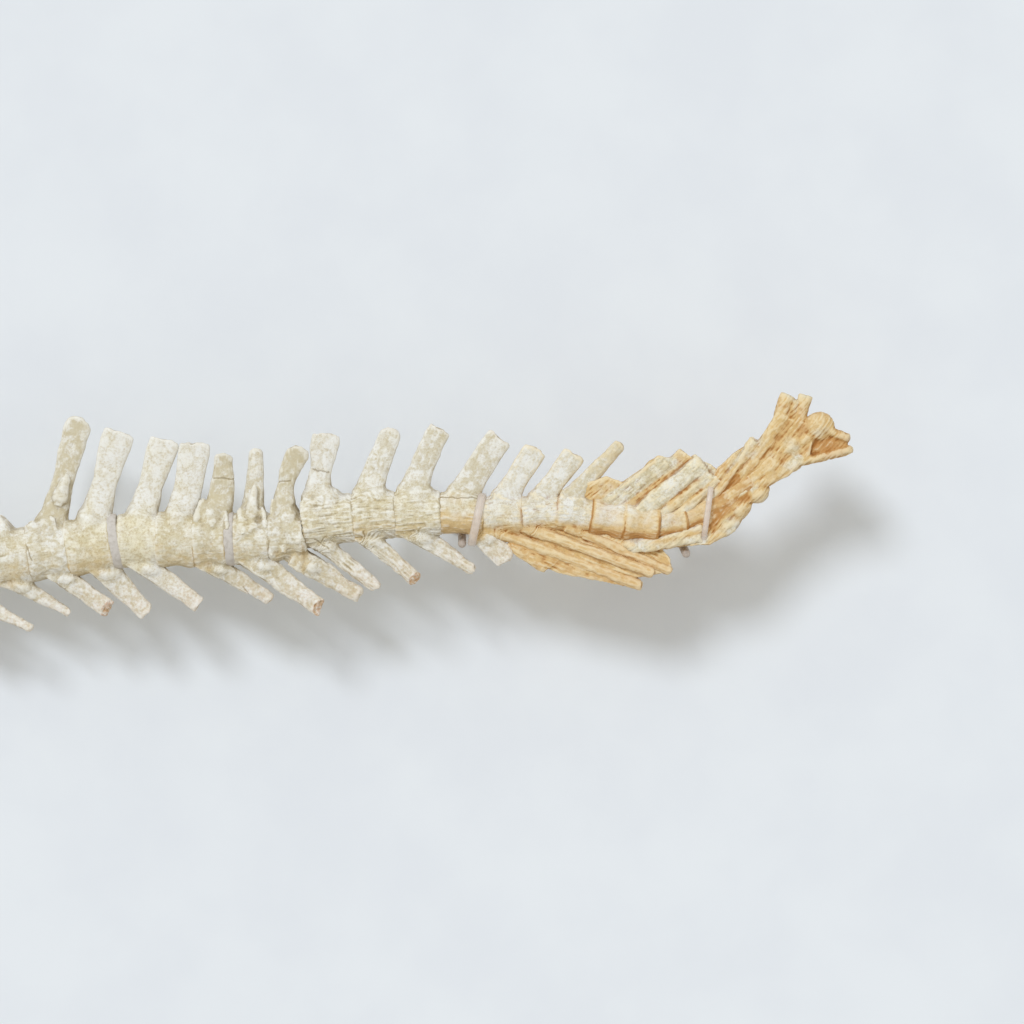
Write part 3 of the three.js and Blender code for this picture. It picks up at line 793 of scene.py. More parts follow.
def weather(points, quads, seed, fibre, lumps, wrinkle, raw, cracked, fillets=3):
    """Fillets, lumps, fibres, pits, cracks and raw ends on a fused surface.

    Returns the points, a relief value that is positive in recesses, where shade is painted, and negative on
    crests, where a highlight is painted, and a share for painted shade on faces that turn sideways.
    """
    links = neighbours(quads)
    points = filleted(smoothed(points, links, 4, *RELAX_AND_SWELL), quads, links, fillets)
    points = smoothed(points, links, 2, *RELAX_AND_SWELL)
    out = normals(points, quads)
    along, around = fibre
    flat = np.zeros(len(points))
    grain = np.stack([along / RIB.length, around / RIB.width, flat], 1)
    ribs = noise(grain, 1, seed + SEED.rib)
    ribs = ribs + FINE_RIB.share * noise(grain * FINE_RIB.scale, 1, seed + SEED.fine_rib)
    folds = noise(np.stack([along / FOLD.length, around / FOLD.width, flat], 1), 1, seed + SEED.fold)
    pits = np.maximum(0, noise(points, PIT.size, seed + SEED.pit) - PIT.start)
    pits = pits * (1 + noise(points, PIT.patch, seed + SEED.pit_patch))
    push = (
        lumps * LUMP.height * fractal(points, LUMP.size, seed)
        + (DIMPLE.height + DIMPLE.more * lumps) * fractal(points, DIMPLE.size, seed + SEED.dimple)
        + (RIB.height + RIB.more * wrinkle) * ribs
        + FOLD.height * wrinkle * (FOLD.middle - np.abs(folds))
        - PIT.depth * pits
        - CRACK.depth * cracked
        + raw * CHIP.height * fractal(points, CHIP.size, seed + SEED.chip)
    )
    points = points + out * push[:, None]
    points = smoothed(points, links, 1, LAST_RELAX)
    out = normals(points, quads)
    # Painted light: the value is positive where the surface lies below its smoothed neighbours, for painted
    # shade, and negative where it stands above them, for a painted highlight
    near = np.einsum("ij,ij->i", smoothed(points, links, RELIEF_SHADE_AND_HIGHLIGHT.near_rounds, RELAX) - points, out)
    wide = np.einsum("ij,ij->i", smoothed(points, links, RELIEF_SHADE_AND_HIGHLIGHT.wide_rounds, RELAX) - points, out)
    hollow = RELIEF_SHADE_AND_HIGHLIGHT.near * near + RELIEF_SHADE_AND_HIGHLIGHT.wide * wide + CRACK.hollow * cracked
    return points, np.clip(hollow, -1, 1), smoothstep(SIDE_SHADE.start, SIDE_SHADE.full, np.abs(out[:, 2]))


def crack_lines(index, points):
    """How much each point of a vertebra lies in a crack, from 0 to 1."""
    cracked = np.zeros(len(points))
    seen = placed(points, FRAMES[index]) - np.array(SHIFT)
    wander = CRACK.wander * noise(seen, CRACK.size, SEED.crack)
    for crack in (crack for crack in CRACKS if crack.vertebra == index):
        start, end = np.array((crack.x1, crack.y1)), np.array((crack.x2, crack.y2))
        length = np.linalg.norm(end - start)
        out = (end - start) / length
        reach = (seen[:, :2] - start) @ out
        off = np.abs((seen[:, :2] - start) @ np.array((-out[1], out[0])) + wander)
        inside = (reach > 0) * (reach < length)
        cracked = np.maximum(cracked, smoothstep(CRACK.far, CRACK.near, off) * inside)
    return cracked


def bulge_of(bone, points):
    """How far the rounded end faces push each point along the column."""
    return bone.bulge * np.clip(1 - (points[:, 1] / (bone.height / 2)) ** 2, 0, 1)


class Stain(NamedTuple):
    """How amber gathers on a bone.

    First where its low zone starts and is full, in shares of half the height, then the amber at both ends,
    all over, in the low zone and on the chevron, and how bare the chevron stays.
    """

    low_from: float
    low_to: float
    ends: float
    base: float
    low: float
    chevron: float
    bare_chevron: float


PALE_STAIN = Stain(
    low_from=0.35, low_to=-0.75, ends=0.12, base=0.15, low=0.95, chevron=0, bare_chevron=0.85)
GOLDEN_STAIN = Stain(
    low_from=-0.15, low_to=-0.9, ends=0.3, base=0.3, low=1.4, chevron=0.6, bare_chevron=0.6)
PATCH = Group(size=13, amber=0.35, open_from=0.2, open_full=0.7)
BARE_SPINE = 0.75
END_ZONE = (0.4, 0.5)
JOINT_LINE = Group(start=0.475, full=0.5, fade=0.55, gone=0.6, hollow=0.35)
LESS_CREAM = 0.6


def stains_of(index, points, hollow, shares, seed):
    """The cream, amber and olive of each point of a vertebra, for the shader, and its relief value for
    painted shade and highlight with the dark joint lines written in.
    """
    bone = VERTEBRAE[index]
    look, half = bone.look, bone.height / 2
    stain = GOLDEN_STAIN if index >= GOLDEN_FROM else PALE_STAIN
    spine, chevron = shares[1], shares[-1]
    body = 1 - spine - chevron
    # The low zone makes a bone more amber towards its ventral side, which is the lower side in the top view
    low = smoothstep(stain.low_from * half, stain.low_to * half, points[:, 1])
    place = np.abs((points[:, 0] - bulge_of(bone, points)) / bone.length - 0.5)
    ends = smoothstep(*END_ZONE, place) * body * stain.ends
    patch = 0.5 + 0.5 * noise(points, PATCH.size, seed + SEED.patch)
    bare = (BARE_SPINE if index < STAINED_SPINE_FROM else 0) * spine + stain.bare_chevron * chevron
    amber = look.amber * (stain.base + stain.low * low + PATCH.amber * patch) * (1 - bare) + ends
    # A darker line at each joint is written into the relief value, which also carries the painted shade and
    # highlight
    line = smoothstep(JOINT_LINE.start, JOINT_LINE.full, place)
    line = line * smoothstep(JOINT_LINE.gone, JOINT_LINE.fade, place) * body
    line = line * smoothstep(PATCH.open_from, PATCH.open_full, patch) * (index < CLOSED_JOINT_FROM)
    return dict(
        cream=look.cream * (1 - LESS_CREAM * spine - LESS_CREAM * chevron),
        amber=amber + stain.chevron * chevron,
        olive=look.olive * (1 - spine) + look.spine_olive * spine,
        hollow=hollow + line * (JOINT_LINE.hollow - hollow),
    )


def make_piece(name, points, quads, values, material, nodes=()):
    """A shown piece from points in the part's millimetres, with its surface values for the shader."""
    mesh = bpy.data.meshes.new(name)
    mesh.vertices.add(len(points))
    mesh.vertices.foreach_set("co", (points * MM).astype(np.float32).ravel())
    mesh.loops.add(quads.size)
    mesh.loops.foreach_set("vertex_index", quads.astype(np.int32).ravel())
    mesh.polygons.add(len(quads))
    mesh.polygons.foreach_set("loop_start", np.arange(0, quads.size, 4, dtype=np.int32))
    mesh.update(calc_edges=True)
    mesh.validate()
    mesh.polygons.foreach_set("use_smooth", np.ones(len(quads), bool))
    for key, value in values.items():
        layer = mesh.attributes.new(key, "FLOAT", "POINT")
        layer.data.foreach_set("value", np.asarray(value, np.float32))
    mesh.materials.append(material)
    piece = bpy.data.objects.new(name, mesh)
    bpy.context.scene.collection.objects.link(piece)
    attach(piece, "root")
    if nodes:
        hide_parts(*nodes)
    return piece


def placed(points, matrix):
    """Points in a bone's own frame, moved to the part's millimetres."""
    turn = np.array(matrix)
    return points @ turn[:3, :3].T + turn[:3, 3] + np.array(SHIFT)


# Shader expressions
class Value:
    """A shader socket that reads as a number in Python expressions."""

    def __init__(self, graph, socket):
        self.graph = graph
        self.socket = socket

    def math(self, operation, first, second):
        return self.graph.node("ShaderNodeMath", dict(operation=operation), {0: first, 1: second})

    def __add__(self, other):
        return self.math("ADD", self, other)

    def __radd__(self, other):
        return self.math("ADD", other, self)

    def __sub__(self, other):
        return self.math("SUBTRACT", self, other)

    def __rsub__(self, other):
        return self.math("SUBTRACT", other, self)

    def __mul__(self, other):
        return self.math("MULTIPLY", self, other)

    def __rmul__(self, other):
        return self.math("MULTIPLY", other, self)

    def ramp(self, low, high):
        """0 below low, 1 above high, eased between."""
        sockets = {"Value": self, "From Min": low, "From Max": high}
        return self.graph.node("ShaderNodeMapRange", dict(interpolation_type="SMOOTHSTEP"), sockets)


class Graph:
    """The nodes of one material."""

    def __init__(self, name):
        self.material = bpy.data.materials.new(name)
        self.material.use_nodes = True
        self.tree = self.material.node_tree
        self.surface = self.tree.nodes["Principled BSDF"]

    def node(self, kind, settings, sockets, output=0):
        node = self.tree.nodes.new(kind)
        for key, value in settings.items():
            setattr(node, key, value)
        for key, value in sockets.items():
            self.feed(node.inputs[key], value)
        return Value(self, node.outputs[output])

    def feed(self, socket, value):
        if isinstance(value, Value):
            self.tree.links.new(value.socket, socket)
        else:
            socket.default_value = value

    def set(self, **sockets):
        for key, value in sockets.items():
            self.feed(self.surface.inputs[key.replace("_", " ")], value)

    def mix(self, share, first, second):
        return self.node("ShaderNodeMix", dict(data_type="RGBA"), {0: share, 6: first, 7: second}, 2)

    def stored(self, name):
        return self.node("ShaderNodeAttribute", dict(attribute_name=name), {}, "Fac")

    def place(self):
        return self.node("ShaderNodeTexCoord", {}, {}, "Object")

    def noise(self, scale, detail=3.0, rough=0.55):
        sockets = {"Vector": self.place(), "Scale": scale, "Detail": detail, "Roughness": rough}
        return self.node("ShaderNodeTexNoise", {}, sockets, "Fac")

    def net(self, scale, warp):
        """1 on the lines of a warped net of cells and 0 inside them."""
        noise = {"Vector": self.place(), "Scale": 1.4 * scale, "Detail": 2.0}
        sway = self.node("ShaderNodeTexNoise", {}, noise, "Color")
        moved = {0: sway, 1: (warp, warp, warp), 2: self.place()}
        place = self.node("ShaderNodeVectorMath", dict(operation="MULTIPLY_ADD"), moved)
        cells = {"Vector": place, "Scale": scale}
        edge = self.node("ShaderNodeTexVoronoi", dict(feature="DISTANCE_TO_EDGE"), cells, "Distance")
        return 1 - edge.ramp(0.02, 0.3)

    def bump(self, height, distance, strength=1.0):
        sockets = {"Height": height, "Distance": distance, "Strength": strength}
        return self.node("ShaderNodeBump", {}, sockets)


def colour(red, green, blue):
    """A linear colour from eight-bit display values."""
    def linear(value):
        share = value / 255
        return share / 12.92 if share <= 0.04045 else ((share + 0.055) / 1.055) ** 2.4

    return (linear(red), linear(green), linear(blue), 1.0)


# Shares of each tint; the shares for creases and sideways faces paint shade, the one for crests paints a
# highlight
TINT_SHARE = Group(olive=0.7, amber=0.85, soaked=0.75, crease=0.6, flank=0.4, crest=0.55, raw=0.55)


class BoneTones(NamedTuple):
    """Colours of a bone's surface: painted shade for creases and sideways faces, thin and deep amber, and a
    painted highlight for crests.
    """

    crease: tuple
    amber: tuple
    deep_amber: tuple
    crest: tuple


def bone_material(name, settings, tones):
    """Pale bone that goes cream, amber and olive where its surface values say so, with painted shade in
    recesses and on sideways faces and a painted highlight on crests.
    """
    graph = Graph(name)
    patches = graph.noise(55.0)
    mottle = graph.noise(190.0)
    speckle = graph.noise(520.0, 3.0, 0.6)
    grain = graph.noise(1300.0, 3.0, 0.6)
    net = graph.net(85.0, 0.016)
    # The relief value: positive in recesses for painted shade, negative on crests for a painted highlight,
    # with dark joint lines written in
    hollow = graph.stored("hollow")
    warm = graph.stored("cream")
    stained = graph.stored("amber")
    cream = (warm + patches - 0.5).ramp(0.1, 0.9)
    amber = (stained + 0.6 * (patches - 0.5) + 0.6 * (mottle - 0.5)).ramp(0.15, 0.95)
    soaked = (stained + 0.8 * (mottle - 0.5)).ramp(0.9, 1.7)
    fine = 0.3 * (mottle - 0.5) + 1.0 * (speckle - 0.5) + 1.0 * (grain - 0.5)
    olive = (graph.stored("olive") + 0.5 * net + 0.5 * (patches - 0.5) + fine).ramp(0.05, 1.1)
    pores = grain.ramp(0.53, 0.72) * mottle.ramp(0.35, 0.65)
    base = graph.mix(cream, tuple(settings.bone), tuple(settings.cream))
    base = graph.mix(TINT_SHARE.olive * olive, base, tuple(settings.olive))
    base = graph.mix(TINT_SHARE.amber * amber, base, tones.amber)
    # Amber deepens in recesses: partly stain gathered there, partly painted shade
    base = graph.mix(amber * hollow.ramp(0.04, 0.55), base, tones.deep_amber)
    base = graph.mix(TINT_SHARE.soaked * soaked, base, tones.deep_amber)
    base = graph.mix((0.12 + 0.35 * warm) * speckle.ramp(0.46, 0.68), base, tuple(settings.speckle))
    base = graph.mix((0.15 + 0.5 * warm) * pores, base, tuple(settings.pore))
    # Painted shade in recesses
    base = graph.mix(TINT_SHARE.crease * hollow.ramp(0.08, 0.6), base, tones.crease)
    # Painted shade on faces that turn sideways
    base = graph.mix(TINT_SHARE.flank * graph.stored("flank"), base, tones.crease)
    # Painted highlight on crests
    base = graph.mix(TINT_SHARE.crest * (0 - hollow).ramp(0.06, 0.5), base, tones.crest)
    broken = TINT_SHARE.raw * graph.stored("raw") * speckle.ramp(0.3, 0.6)
    base = graph.mix(broken, base, tuple(settings.raw))
    bumps = grain + 0.8 * speckle + 0.5 * mottle
    graph.set(Base_Color=base, Roughness=0.62 + 0.3 * grain, Normal=graph.bump(bumps, 0.0005, 0.5))
    graph.surface.inputs["Specular IOR Level"].default_value = 0.3


def plain_material(name, tone, fleck, roughness, scale, bump, alpha=1.0):
    """A moulded or painted surface with faint flecks and wear."""
    graph = Graph(name)
    flecks = graph.noise(scale)
    base = graph.mix(flecks.ramp(0.4, 0.75), tone, fleck)
    graph.set(Base_Color=base, Roughness=roughness + 0.15 * flecks, Normal=graph.bump(flecks, bump))
    graph.surface.inputs["Alpha"].default_value = alpha


def pale_bone(name, settings):
    tones = BoneTones(
        # Painted shade colour for creases and sideways faces
        crease=colour(150, 130, 96),
        amber=tuple(settings.pale_amber),
        deep_amber=colour(190, 146, 86),
        # Painted highlight colour for crests
        crest=colour(248, 243, 230),
    )
    bone_material(name, settings, tones)


def golden_bone(name, settings):
    tones = BoneTones(
        # Painted shade colour for creases and sideways faces
        crease=colour(150, 98, 44),
        amber=tuple(settings.golden_amber),
        deep_amber=colour(188, 124, 54),
        # Painted highlight colour for crests
        crest=colour(246, 228, 188),
    )
    bone_material(name, settings, tones)


def joint_filler(name, settings):
    fleck = colour(190, 180, 167)
    plain_material(name, tuple(settings.filler), fleck, roughness=0.75, scale=260.0, bump=0.0004)


def mount_paint(name, settings):
    fleck = colour(160, 145, 130)
    plain_material(name, tuple(settings.paint), fleck, roughness=0.45, scale=420.0, bump=0.0002)


def strap_plastic(name, settings):
    fleck = colour(230, 212, 194)
    plain_material(name, tuple(settings.strap), fleck, roughness=0.3, scale=180.0, bump=0.0002, alpha=0.55)


def material(make):
    """The material that a function makes, made at its first use."""
    name = make.__name__
    if name not in bpy.data.materials:
        make(name, bpy.context.scene.fossil_tail)
    return bpy.data.materials[name]


# Settings, operators and panel
def tint(name, description, *tone):
    """A colour setting with that default."""
    return FloatVectorProperty(
        name=name, description=description, subtype="COLOR", size=4, min=0, max=1, default=colour(*tone))


class FossilTailSettings(bpy.types.PropertyGroup):
    """Sizes, colours and strengths that the operators read."""

    voxel: FloatProperty(
        name="Surface step", description="Spacing of the points on a bone, in millimetres",
        default=0.7, min=0.3)
    weathering: FloatProperty(
        name="Weathering", description="Strength of lumps and wrinkles",
        default=1.0, min=0, max=2, subtype="FACTOR")
    seed: IntProperty(name="Seed", description="Start of every random draw", default=11)
    bone: tint("Bone", "Clean bone", 236, 232, 222)
    cream: tint("Cream", "Aged bone", 236, 225, 192)
    olive: tint("Olive", "Olive stains", 194, 176, 128)
    pale_amber: tint("Pale amber", "Amber stains on the pale bones", 224, 192, 134)
    golden_amber: tint("Golden amber", "Amber stains on the last bones", 224, 184, 116)
    speckle: tint("Speckle", "Brown speckles", 190, 160, 114)
    pore: tint("Pores", "Dark pores", 160, 128, 86)
    raw: tint("Raw ends", "Broken ends", 204, 136, 72)
    filler: tint("Filler", "Pads in the opened joints", 210, 201, 190)
    paint: tint("Paint", "Painted posts", 190, 175, 160)
    strap: tint("Strap", "Straps around the bones", 242, 228, 214)
    floor: tint("Floor", "Pale floor", 228, 229, 230)
    key_strength: FloatProperty(
        name="Key light", description="Strength of the soft key light", default=1.6, min=0)
    key_angle: FloatProperty(
        name="Key size", description="How wide the key light looks from the bones",
        default=math.radians(16), unit="ROTATION")
    fill: FloatProperty(
        name="Fill light", description="Strength of the even light all round", default=0.635, min=0)
    camera_height: FloatProperty(
        name="Camera height", description="Height of the camera above the bones",
        default=8.0, unit="LENGTH")
    lens: FloatProperty(
        name="Lens", description="Focal length of the camera", default=351.56, unit="CAMERA")


class FOSSIL_OT_vertebrae(bpy.types.Operator):
    """Builds every vertebra of the column as a bone of its own"""

    bl_idname = "fossil.vertebrae"
    bl_label = "Vertebrae"

    def execute(self, context):
        settings = context.scene.fossil_tail
        for index in range(len(VERTEBRAE)):
            self.build(index, settings)
        return {"FINISHED"}

    def build(self, index, settings):
        bone, seed = VERTEBRAE[index], settings.seed + BONE_SEED_STEP * index
        points, quads = draft_vertebra(index).fuse(settings.voxel)
        points[:, 0] += bulge_of(bone, points)
        points, fibre, raw, porous, shares = break_blades(bone, points, seed)
        lumps = bone.look.lumps * settings.weathering * (1 - CALM_SPINE.lumps * shares[1])
        wrinkle = bone.look.wrinkle * settings.weathering * (1 - CALM_SPINE.wrinkle * shares[1])
        cracked = crack_lines(index, points)
        points, hollow, flank = weather(points, quads, seed, fibre, lumps, wrinkle, raw, cracked)
        values = stains_of(index, points, hollow, shares, seed)
        values.update(raw=np.maximum(raw, porous), flank=flank)
        name = f"vertebra_{index + 1:02d}"
        nodes = (FIRST_OF_LENGTH[index],) if index in FIRST_OF_LENGTH else ()
        finish, slot = (golden_bone, "amber_bone") if index >= GOLDEN_FROM else (pale_bone, "bone")
        make_piece(name, placed(points, FRAMES[index]), quads, values, material(finish), nodes)


class FOSSIL_OT_bundle(bpy.types.Operator):
    """Builds the lumps of stone with pressed rods, plates and knobs around the end of the column"""

    bl_idname = "fossil.bundle"
    bl_label = "Bundle of rods"

    def execute(self, context):
        settings = context.scene.fossil_tail
        draw = np.random.default_rng(settings.seed)
        for number, mass in enumerate(MASSES):
            laid = [(rod, *self.ends(rod, 0, (0, 0))) for rod in mass.across]
            laid += [(rod, *self.ends(rod, 1, (0, 0))) for rod in mass.paired]
            for rod in mass.paired:
                laid.append((rod, *self.ends(rod, -1, draw.uniform(-ROD.slip, ROD.slip, 2))))
            self.build(mass, laid, settings, BUNDLE_SEED.first + BUNDLE_SEED.step * number)
        return {"FINISHED"}

    def ends(self, rod, way, slip):
        start = np.array((rod.x1, rod.y1, axis_height(rod.x1) + way * rod.side))
        end = np.array((rod.x2 + slip[0], rod.y2 + slip[1], axis_height(rod.x2) + way * rod.side))
        return start, end

    def build(self, mass, laid, settings, seed):
        points, quads = self.draft(mass, laid, seed).fuse(settings.voxel)
        grain = math.radians(mass.grain)
        cosine, sine = math.cos(grain), math.sin(grain)
        fibre = (points @ np.array((cosine, sine, 0)), points @ np.array((-sine, cosine, STONE.tilt)))
        amber, olive = self.stains(mass, laid, points)
        raw = np.zeros(len(points))
        lumps = STONE.lumps * settings.weathering
        points, hollow, flank = weather(
            points, quads, seed, fibre, lumps, STONE.wrinkle, raw, 0, STONE.fillets)
        patch = 0.5 + 0.5 * noise(points, STONE.patch, seed + SEED.patch)
        values = dict(
            cream=np.full(len(points), STONE.cream),
            amber=amber * (STONE.amber + STONE.amber * patch),
            olive=olive,
            hollow=hollow,
            raw=raw,
            flank=flank,
        )
        make_piece(mass.name, points + np.array(SHIFT), quads, values, material(golden_bone))

    def draft(self, mass, laid, seed):
        """The stone plate with its rods and knobs, each rod swayed and widened a little at random."""
        draw = np.random.default_rng(seed)
        draft = Draft()
        draft.plate(mass.outline, mass.thickness, axis_height)
        for rod, start, end in laid:
            length = np.linalg.norm(end - start)
            out = (end - start) / length
            aside = np.array((-out[1], out[0], 0))
            middle = (start + end) / 2 + draw.uniform(-ROD.sway, ROD.sway) * aside
            early, late = draw.uniform(ROD.least, ROD.most, 2) * (rod.width1 + rod.width2) / 2
            width = through((0, ROD.start * rod.width1), (0.35, early), (0.7, late), (1, rod.width2))
            depth = through((0, ROD.rise * rod.depth), (0.3, rod.depth), (1, 0.9 * rod.depth))
            draft.bar(bent(start, middle, end), tapered_end(width, length, rod.round),
                      tapered_end(depth, length, ROD.round), rings=60, boxy=ROD.boxy)
        for knob in mass.knobs:
            middle = (knob.x, knob.y, axis_height(knob.x))
            draft.ball(middle, (knob.long, knob.short, knob.deep), knob.turn)
        return draft

    def stains(self, mass, laid, points):
        """Amber and olive of each point, from the rods and knobs that it lies on."""
        amber, olive = np.full(len(points), mass.stain), np.full(len(points), STONE.olive)
        for rod, start, end in laid:
            out = end - start
            reach = np.clip((points - start) @ out / (out @ out), 0, 1)
            off = np.linalg.norm(points - start - np.outer(reach, out), axis=1)
            width = rod.width1 + (rod.width2 - rod.width1) * reach
            share = smoothstep(STAIN_EDGE.far, STAIN_EDGE.rod, 2 * off / width)
            amber += share * (rod.amber - amber)
            olive += share * (rod.olive - olive)
        for knob in mass.knobs:
            off = np.linalg.norm(points - (knob.x, knob.y, axis_height(knob.x)), axis=1)
            radius = 0.5 * knob.long + 0.5 * knob.deep
            share = smoothstep(STAIN_EDGE.far, STAIN_EDGE.knob, off / radius)
            amber += share * (knob.amber - amber)
        return amber, olive


class FOSSIL_OT_pads(bpy.types.Operator):
    """Builds the filler pads in the two opened joints"""

    bl_idname = "fossil.pads"
    bl_label = "Joint pads"

    def execute(self, context):
        settings = context.scene.fossil_tail
        padded = [index for index, bone in enumerate(VERTEBRAE) if bone.pad]
        for number, index in enumerate(padded):
            points, quads = self.draft(VERTEBRAE[index]).fuse(settings.voxel)
            points = smoothed(points, neighbours(quads), PAD.rounds, RELAX)
            push = PAD.height * fractal(points, PAD.size, SEED.pad + number)
            points = points + normals(points, quads) * push[:, None]
            name = f"joint_pad_{number + 1}"
            make_piece(name + "_filler", placed(points, FRAMES[index]), quads, {}, material(joint_filler),
                       (name,))
        return {"FINISHED"}

    def draft(self, bone):
        bulge = through((0, PAD.rim), (0.3, PAD.middle), (0.7, PAD.middle), (1, PAD.rim))
        start, end = bone.length - JOINT_OVERLAP, bone.length + bone.pad + JOINT_OVERLAP
        wide = bone.height * CENTRUM_WIDTH
        draft = Draft()
        draft.bar(straight((start, 0, 0), (end, 0, 0)), lambda t: bone.height * bulge(t),
                  lambda t: wide * bulge(t), sides=64)
        return draft


class FOSSIL_OT_straps(bpy.types.Operator):
    """Builds the two straps that hold the bones to the mount"""

    bl_idname = "fossil.straps"
    bl_label = "Straps"

    def execute(self, context):
        for strap in STRAPS:
            points, quads = self.band(strap)
            centre = FRAMES[strap.vertebra] @ Vector((strap.at * VERTEBRAE[strap.vertebra].length, 0, 0))
            matrix = Matrix.Translation(centre) @ Matrix.Rotation(math.radians(strap.turn), 4, "Z")
            matrix = matrix @ Matrix.Translation((0, -strap.drop, 0))
            make_piece(strap.name + "_band", placed(points, matrix), quads, {}, material(strap_plastic),
                       (strap.name,))
        return {"FINISHED"}

    def band(self, strap):
        """Points and quads of a closed band with a slightly domed profile."""
        sides, rings = STRAP.sides, len(STRAP_PROFILE)
        angle = np.linspace(0, 2 * math.pi, sides, endpoint=False)
        profile = np.array(STRAP_PROFILE)
        across = profile[:, 0] * (strap.width - STRAP.trim)
        height = profile[:, 1] * STRAP.thickness
        points = np.stack([
            np.broadcast_to(across[None], (sides, rings)),
            np.cos(angle)[:, None] * (strap.dorsal + height)[None],
            np.sin(angle)[:, None] * (strap.lateral + height)[None],
        ], 2)
        ring, step = np.meshgrid(np.arange(sides), np.arange(rings), indexing="ij")
        here, after, beside = ring * rings, (ring + 1) % sides * rings, (step + 1) % rings
        quads = np.stack([here + step, here + beside, after + beside, after + step], 2)
        return points.reshape(-1, 3), quads.reshape(-1, 4)


class FOSSIL_OT_posts(bpy.types.Operator):
    """Builds the three posts of the mount"""

    bl_idname = "fossil.posts"
    bl_label = "Posts"

    def execute(self, context):
        settings = context.scene.fossil_tail
        for number, (index, nub) in enumerate(zip(POST_VERTEBRAE, NUBS), 1):
            points, quads = self.draft(index, nub).fuse(settings.voxel)
            points = smoothed(points, neighbours(quads), 3, RELAX)
            name = f"stand_post_{number}"
            make_piece(name + "_painted", points + np.array(SHIFT), quads, {}, material(mount_paint),
                       (name,))
        return {"FINISHED"}

    def draft(self, index, nub):
        """A turned post under a vertebra, with a bent arm beside it where there is a nub."""
        centre = middle_of(index)
        wide = VERTEBRAE[index].height * CENTRUM_WIDTH
        top = centre.z - POST.sunk * wide / 2 + POST.seat
        shoulder = top - POST.shoulder
        low, edge = POST.foot_height, POST.edge
        rows = np.array((
            (0, POST.foot),
            (low - edge, POST.foot),
            (low, POST.foot - edge),
            (low + edge, POST.stem),
            (shoulder, POST.stem),
            (shoulder + POST.bevel, POST.pin),
            (top, POST.pin),
        ))
        draft = Draft()
        stand = straight((centre.x, centre.y, 0), (centre.x, centre.y, top))
        draft.add(*turned(stand, rows[:, 0], rows[:, 1], top))
        if nub:
            along, drop = nub
            bend = (centre.x + along, centre.y - drop, shoulder)
            end = (bend[0], bend[1] - ARM.tip, centre.z + ARM.tip)
            draft.add(*tube(bent((centre.x, centre.y, shoulder - ARM.root), bend, end), ARM.radius))
        return draft


def turned(line, heights, radii, top, sides=48):
    """Points and faces of a turned post along an upright line."""
    middle = line(heights / top)
    angle = np.linspace(0, 2 * math.pi, sides, endpoint=False)
    circle = np.stack([np.cos(angle), np.sin(angle), 0 * angle], 1)
    points = middle[:, None] + radii[:, None, None] * circle[None]
    return points.reshape(-1, 3), tube_faces(len(heights), sides)


def tube(line, radius, rings=40, sides=24):
    """Points and faces of a round rod along any line, with a rounded end."""
    t = np.linspace(0, 1, rings)
    middle = line(t)
    along = np.gradient(middle, axis=0)
    along /= np.linalg.norm(along, axis=1, keepdims=True)
    side = np.cross(along, (1.0, 0.0, 0.0))
    side /= np.linalg.norm(side, axis=1, keepdims=True)
    up = np.cross(along, side)
    angle = np.linspace(0, 2 * math.pi, sides, endpoint=False)
    past = np.clip((t - ARM.round_from) / ARM.round_length, 0, 1)
    size = radius * np.sqrt(np.clip(1 - past**2, ARM.least, 1))
    ring = side[:, None] * np.cos(angle)[None, :, None] + up[:, None] * np.sin(angle)[None, :, None]
    points = middle[:, None] + size[:, None, None] * ring
    return points.reshape(-1, 3), tube_faces(rings, sides)


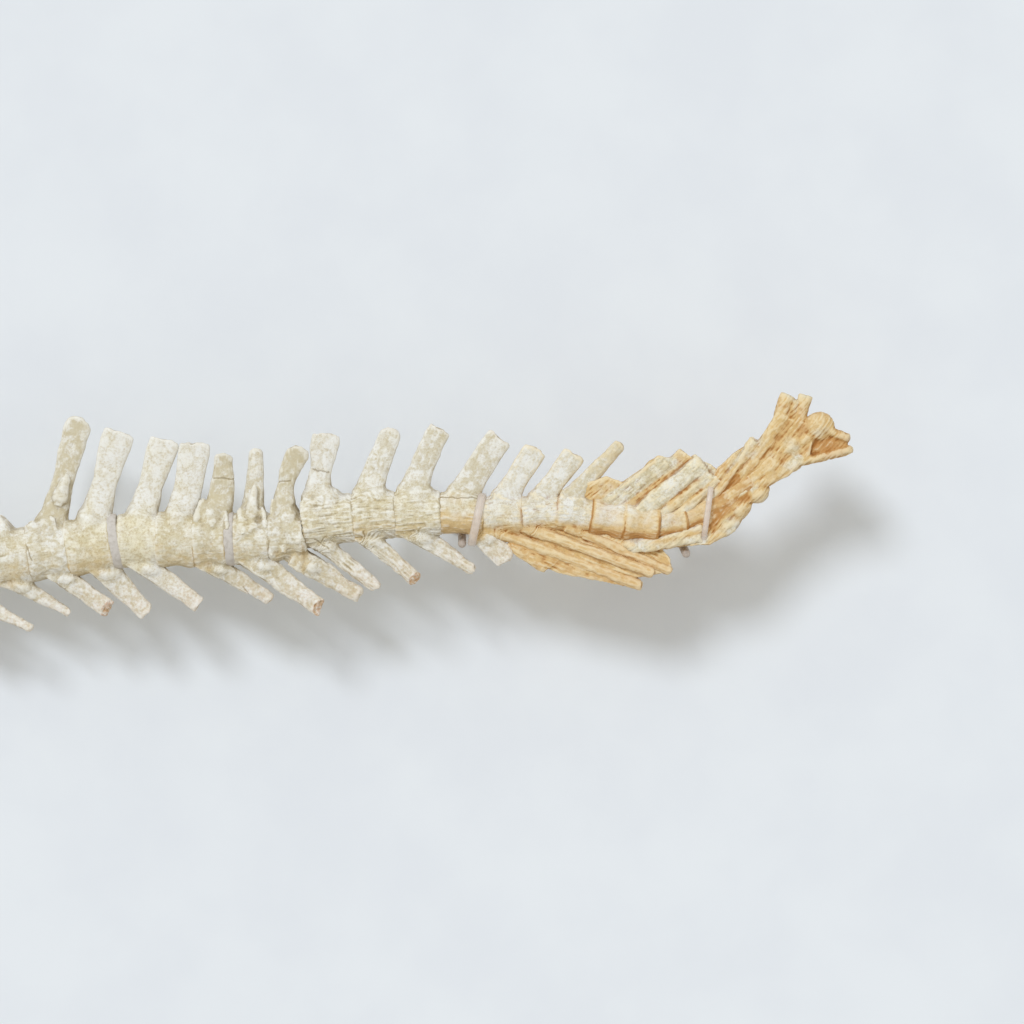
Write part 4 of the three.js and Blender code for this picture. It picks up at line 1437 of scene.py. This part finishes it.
class FOSSIL_OT_stage(bpy.types.Operator):
    """Sets up the pale floor, the soft light and the camera"""

    bl_idname = "fossil.stage"
    bl_label = "Stage"

    def execute(self, context):
        scene = context.scene
        settings = scene.fossil_tail
        self.floor(settings)
        self.light(scene, settings)
        self.camera(scene, settings)
        scene.view_settings.view_transform = "Standard"
        return {"FINISHED"}

    def floor(self, settings):
        mesh = bpy.data.meshes.new("floor")
        corners = [(x * FLOOR_HALF, y * FLOOR_HALF, 0) for x, y in ((-1, -1), (1, -1), (1, 1), (-1, 1))]
        mesh.from_pydata(corners, [], [(0, 1, 2, 3)])
        graph = Graph("floor_paper")
        cloud = graph.noise(9.0)
        base = graph.mix(cloud.ramp(0.3, 0.7), tuple(settings.floor), colour(232, 233, 233))
        graph.set(Base_Color=base, Roughness=0.9)
        mesh.materials.append(graph.material)
        floor = bpy.data.objects.new("floor", mesh)
        bpy.context.scene.collection.objects.link(floor)

    def light(self, scene, settings):
        world = bpy.data.worlds.new("studio")
        scene.world = world
        world.use_nodes = True
        sky = world.node_tree.nodes["Background"]
        sky.inputs["Color"].default_value = SKY_COLOUR
        sky.inputs["Strength"].default_value = settings.fill
        lamp = bpy.data.lights.new("key", "SUN")
        lamp.energy = settings.key_strength
        lamp.angle = settings.key_angle
        lamp.color = KEY_COLOUR
        key = bpy.data.objects.new("key", lamp)
        key.rotation_euler = (-Vector(KEY_FROM)).to_track_quat("-Z", "Y").to_euler()
        scene.collection.objects.link(key)

    def camera(self, scene, settings):
        data = bpy.data.cameras.new("camera")
        data.lens = settings.lens
        data.sensor_width = SENSOR_WIDTH
        camera = bpy.data.objects.new("camera", data)
        aim = SHIFT * MM
        camera.location = (aim.x, aim.y, MIDDLE_HEIGHT + settings.camera_height)
        camera.rotation_euler = (0, 0, 0)
        scene.collection.objects.link(camera)
        scene.camera = camera


class FOSSIL_PT_panel(bpy.types.Panel):
    """Sidebar panel with the settings and the build steps"""

    bl_label = "Fossil tail"
    bl_idname = "FOSSIL_PT_panel"
    bl_space_type = "VIEW_3D"
    bl_region_type = "UI"
    bl_category = "Fossil tail"

    def draw(self, context):
        settings = context.scene.fossil_tail
        for key in FossilTailSettings.__annotations__:
            self.layout.prop(settings, key)
        for step in STEPS:
            self.layout.operator(step.bl_idname)


STEPS = (
    FOSSIL_OT_vertebrae,
    FOSSIL_OT_bundle,
    FOSSIL_OT_pads,
    FOSSIL_OT_straps,
    FOSSIL_OT_posts,
    FOSSIL_OT_stage,
)
CLASSES = (FossilTailSettings, *STEPS, FOSSIL_PT_panel)


def register():
    for cls in CLASSES:
        bpy.utils.register_class(cls)
    bpy.types.Scene.fossil_tail = PointerProperty(type=FossilTailSettings)


def unregister():
    del bpy.types.Scene.fossil_tail
    for cls in reversed(CLASSES):
        bpy.utils.unregister_class(cls)


def main():
    register()
    bpy.ops.fossil.vertebrae()
    bpy.ops.fossil.bundle()
    bpy.ops.fossil.pads()
    bpy.ops.fossil.straps()
    bpy.ops.fossil.posts()
    bpy.ops.fossil.stage()


if __name__ == "__main__":
    main()
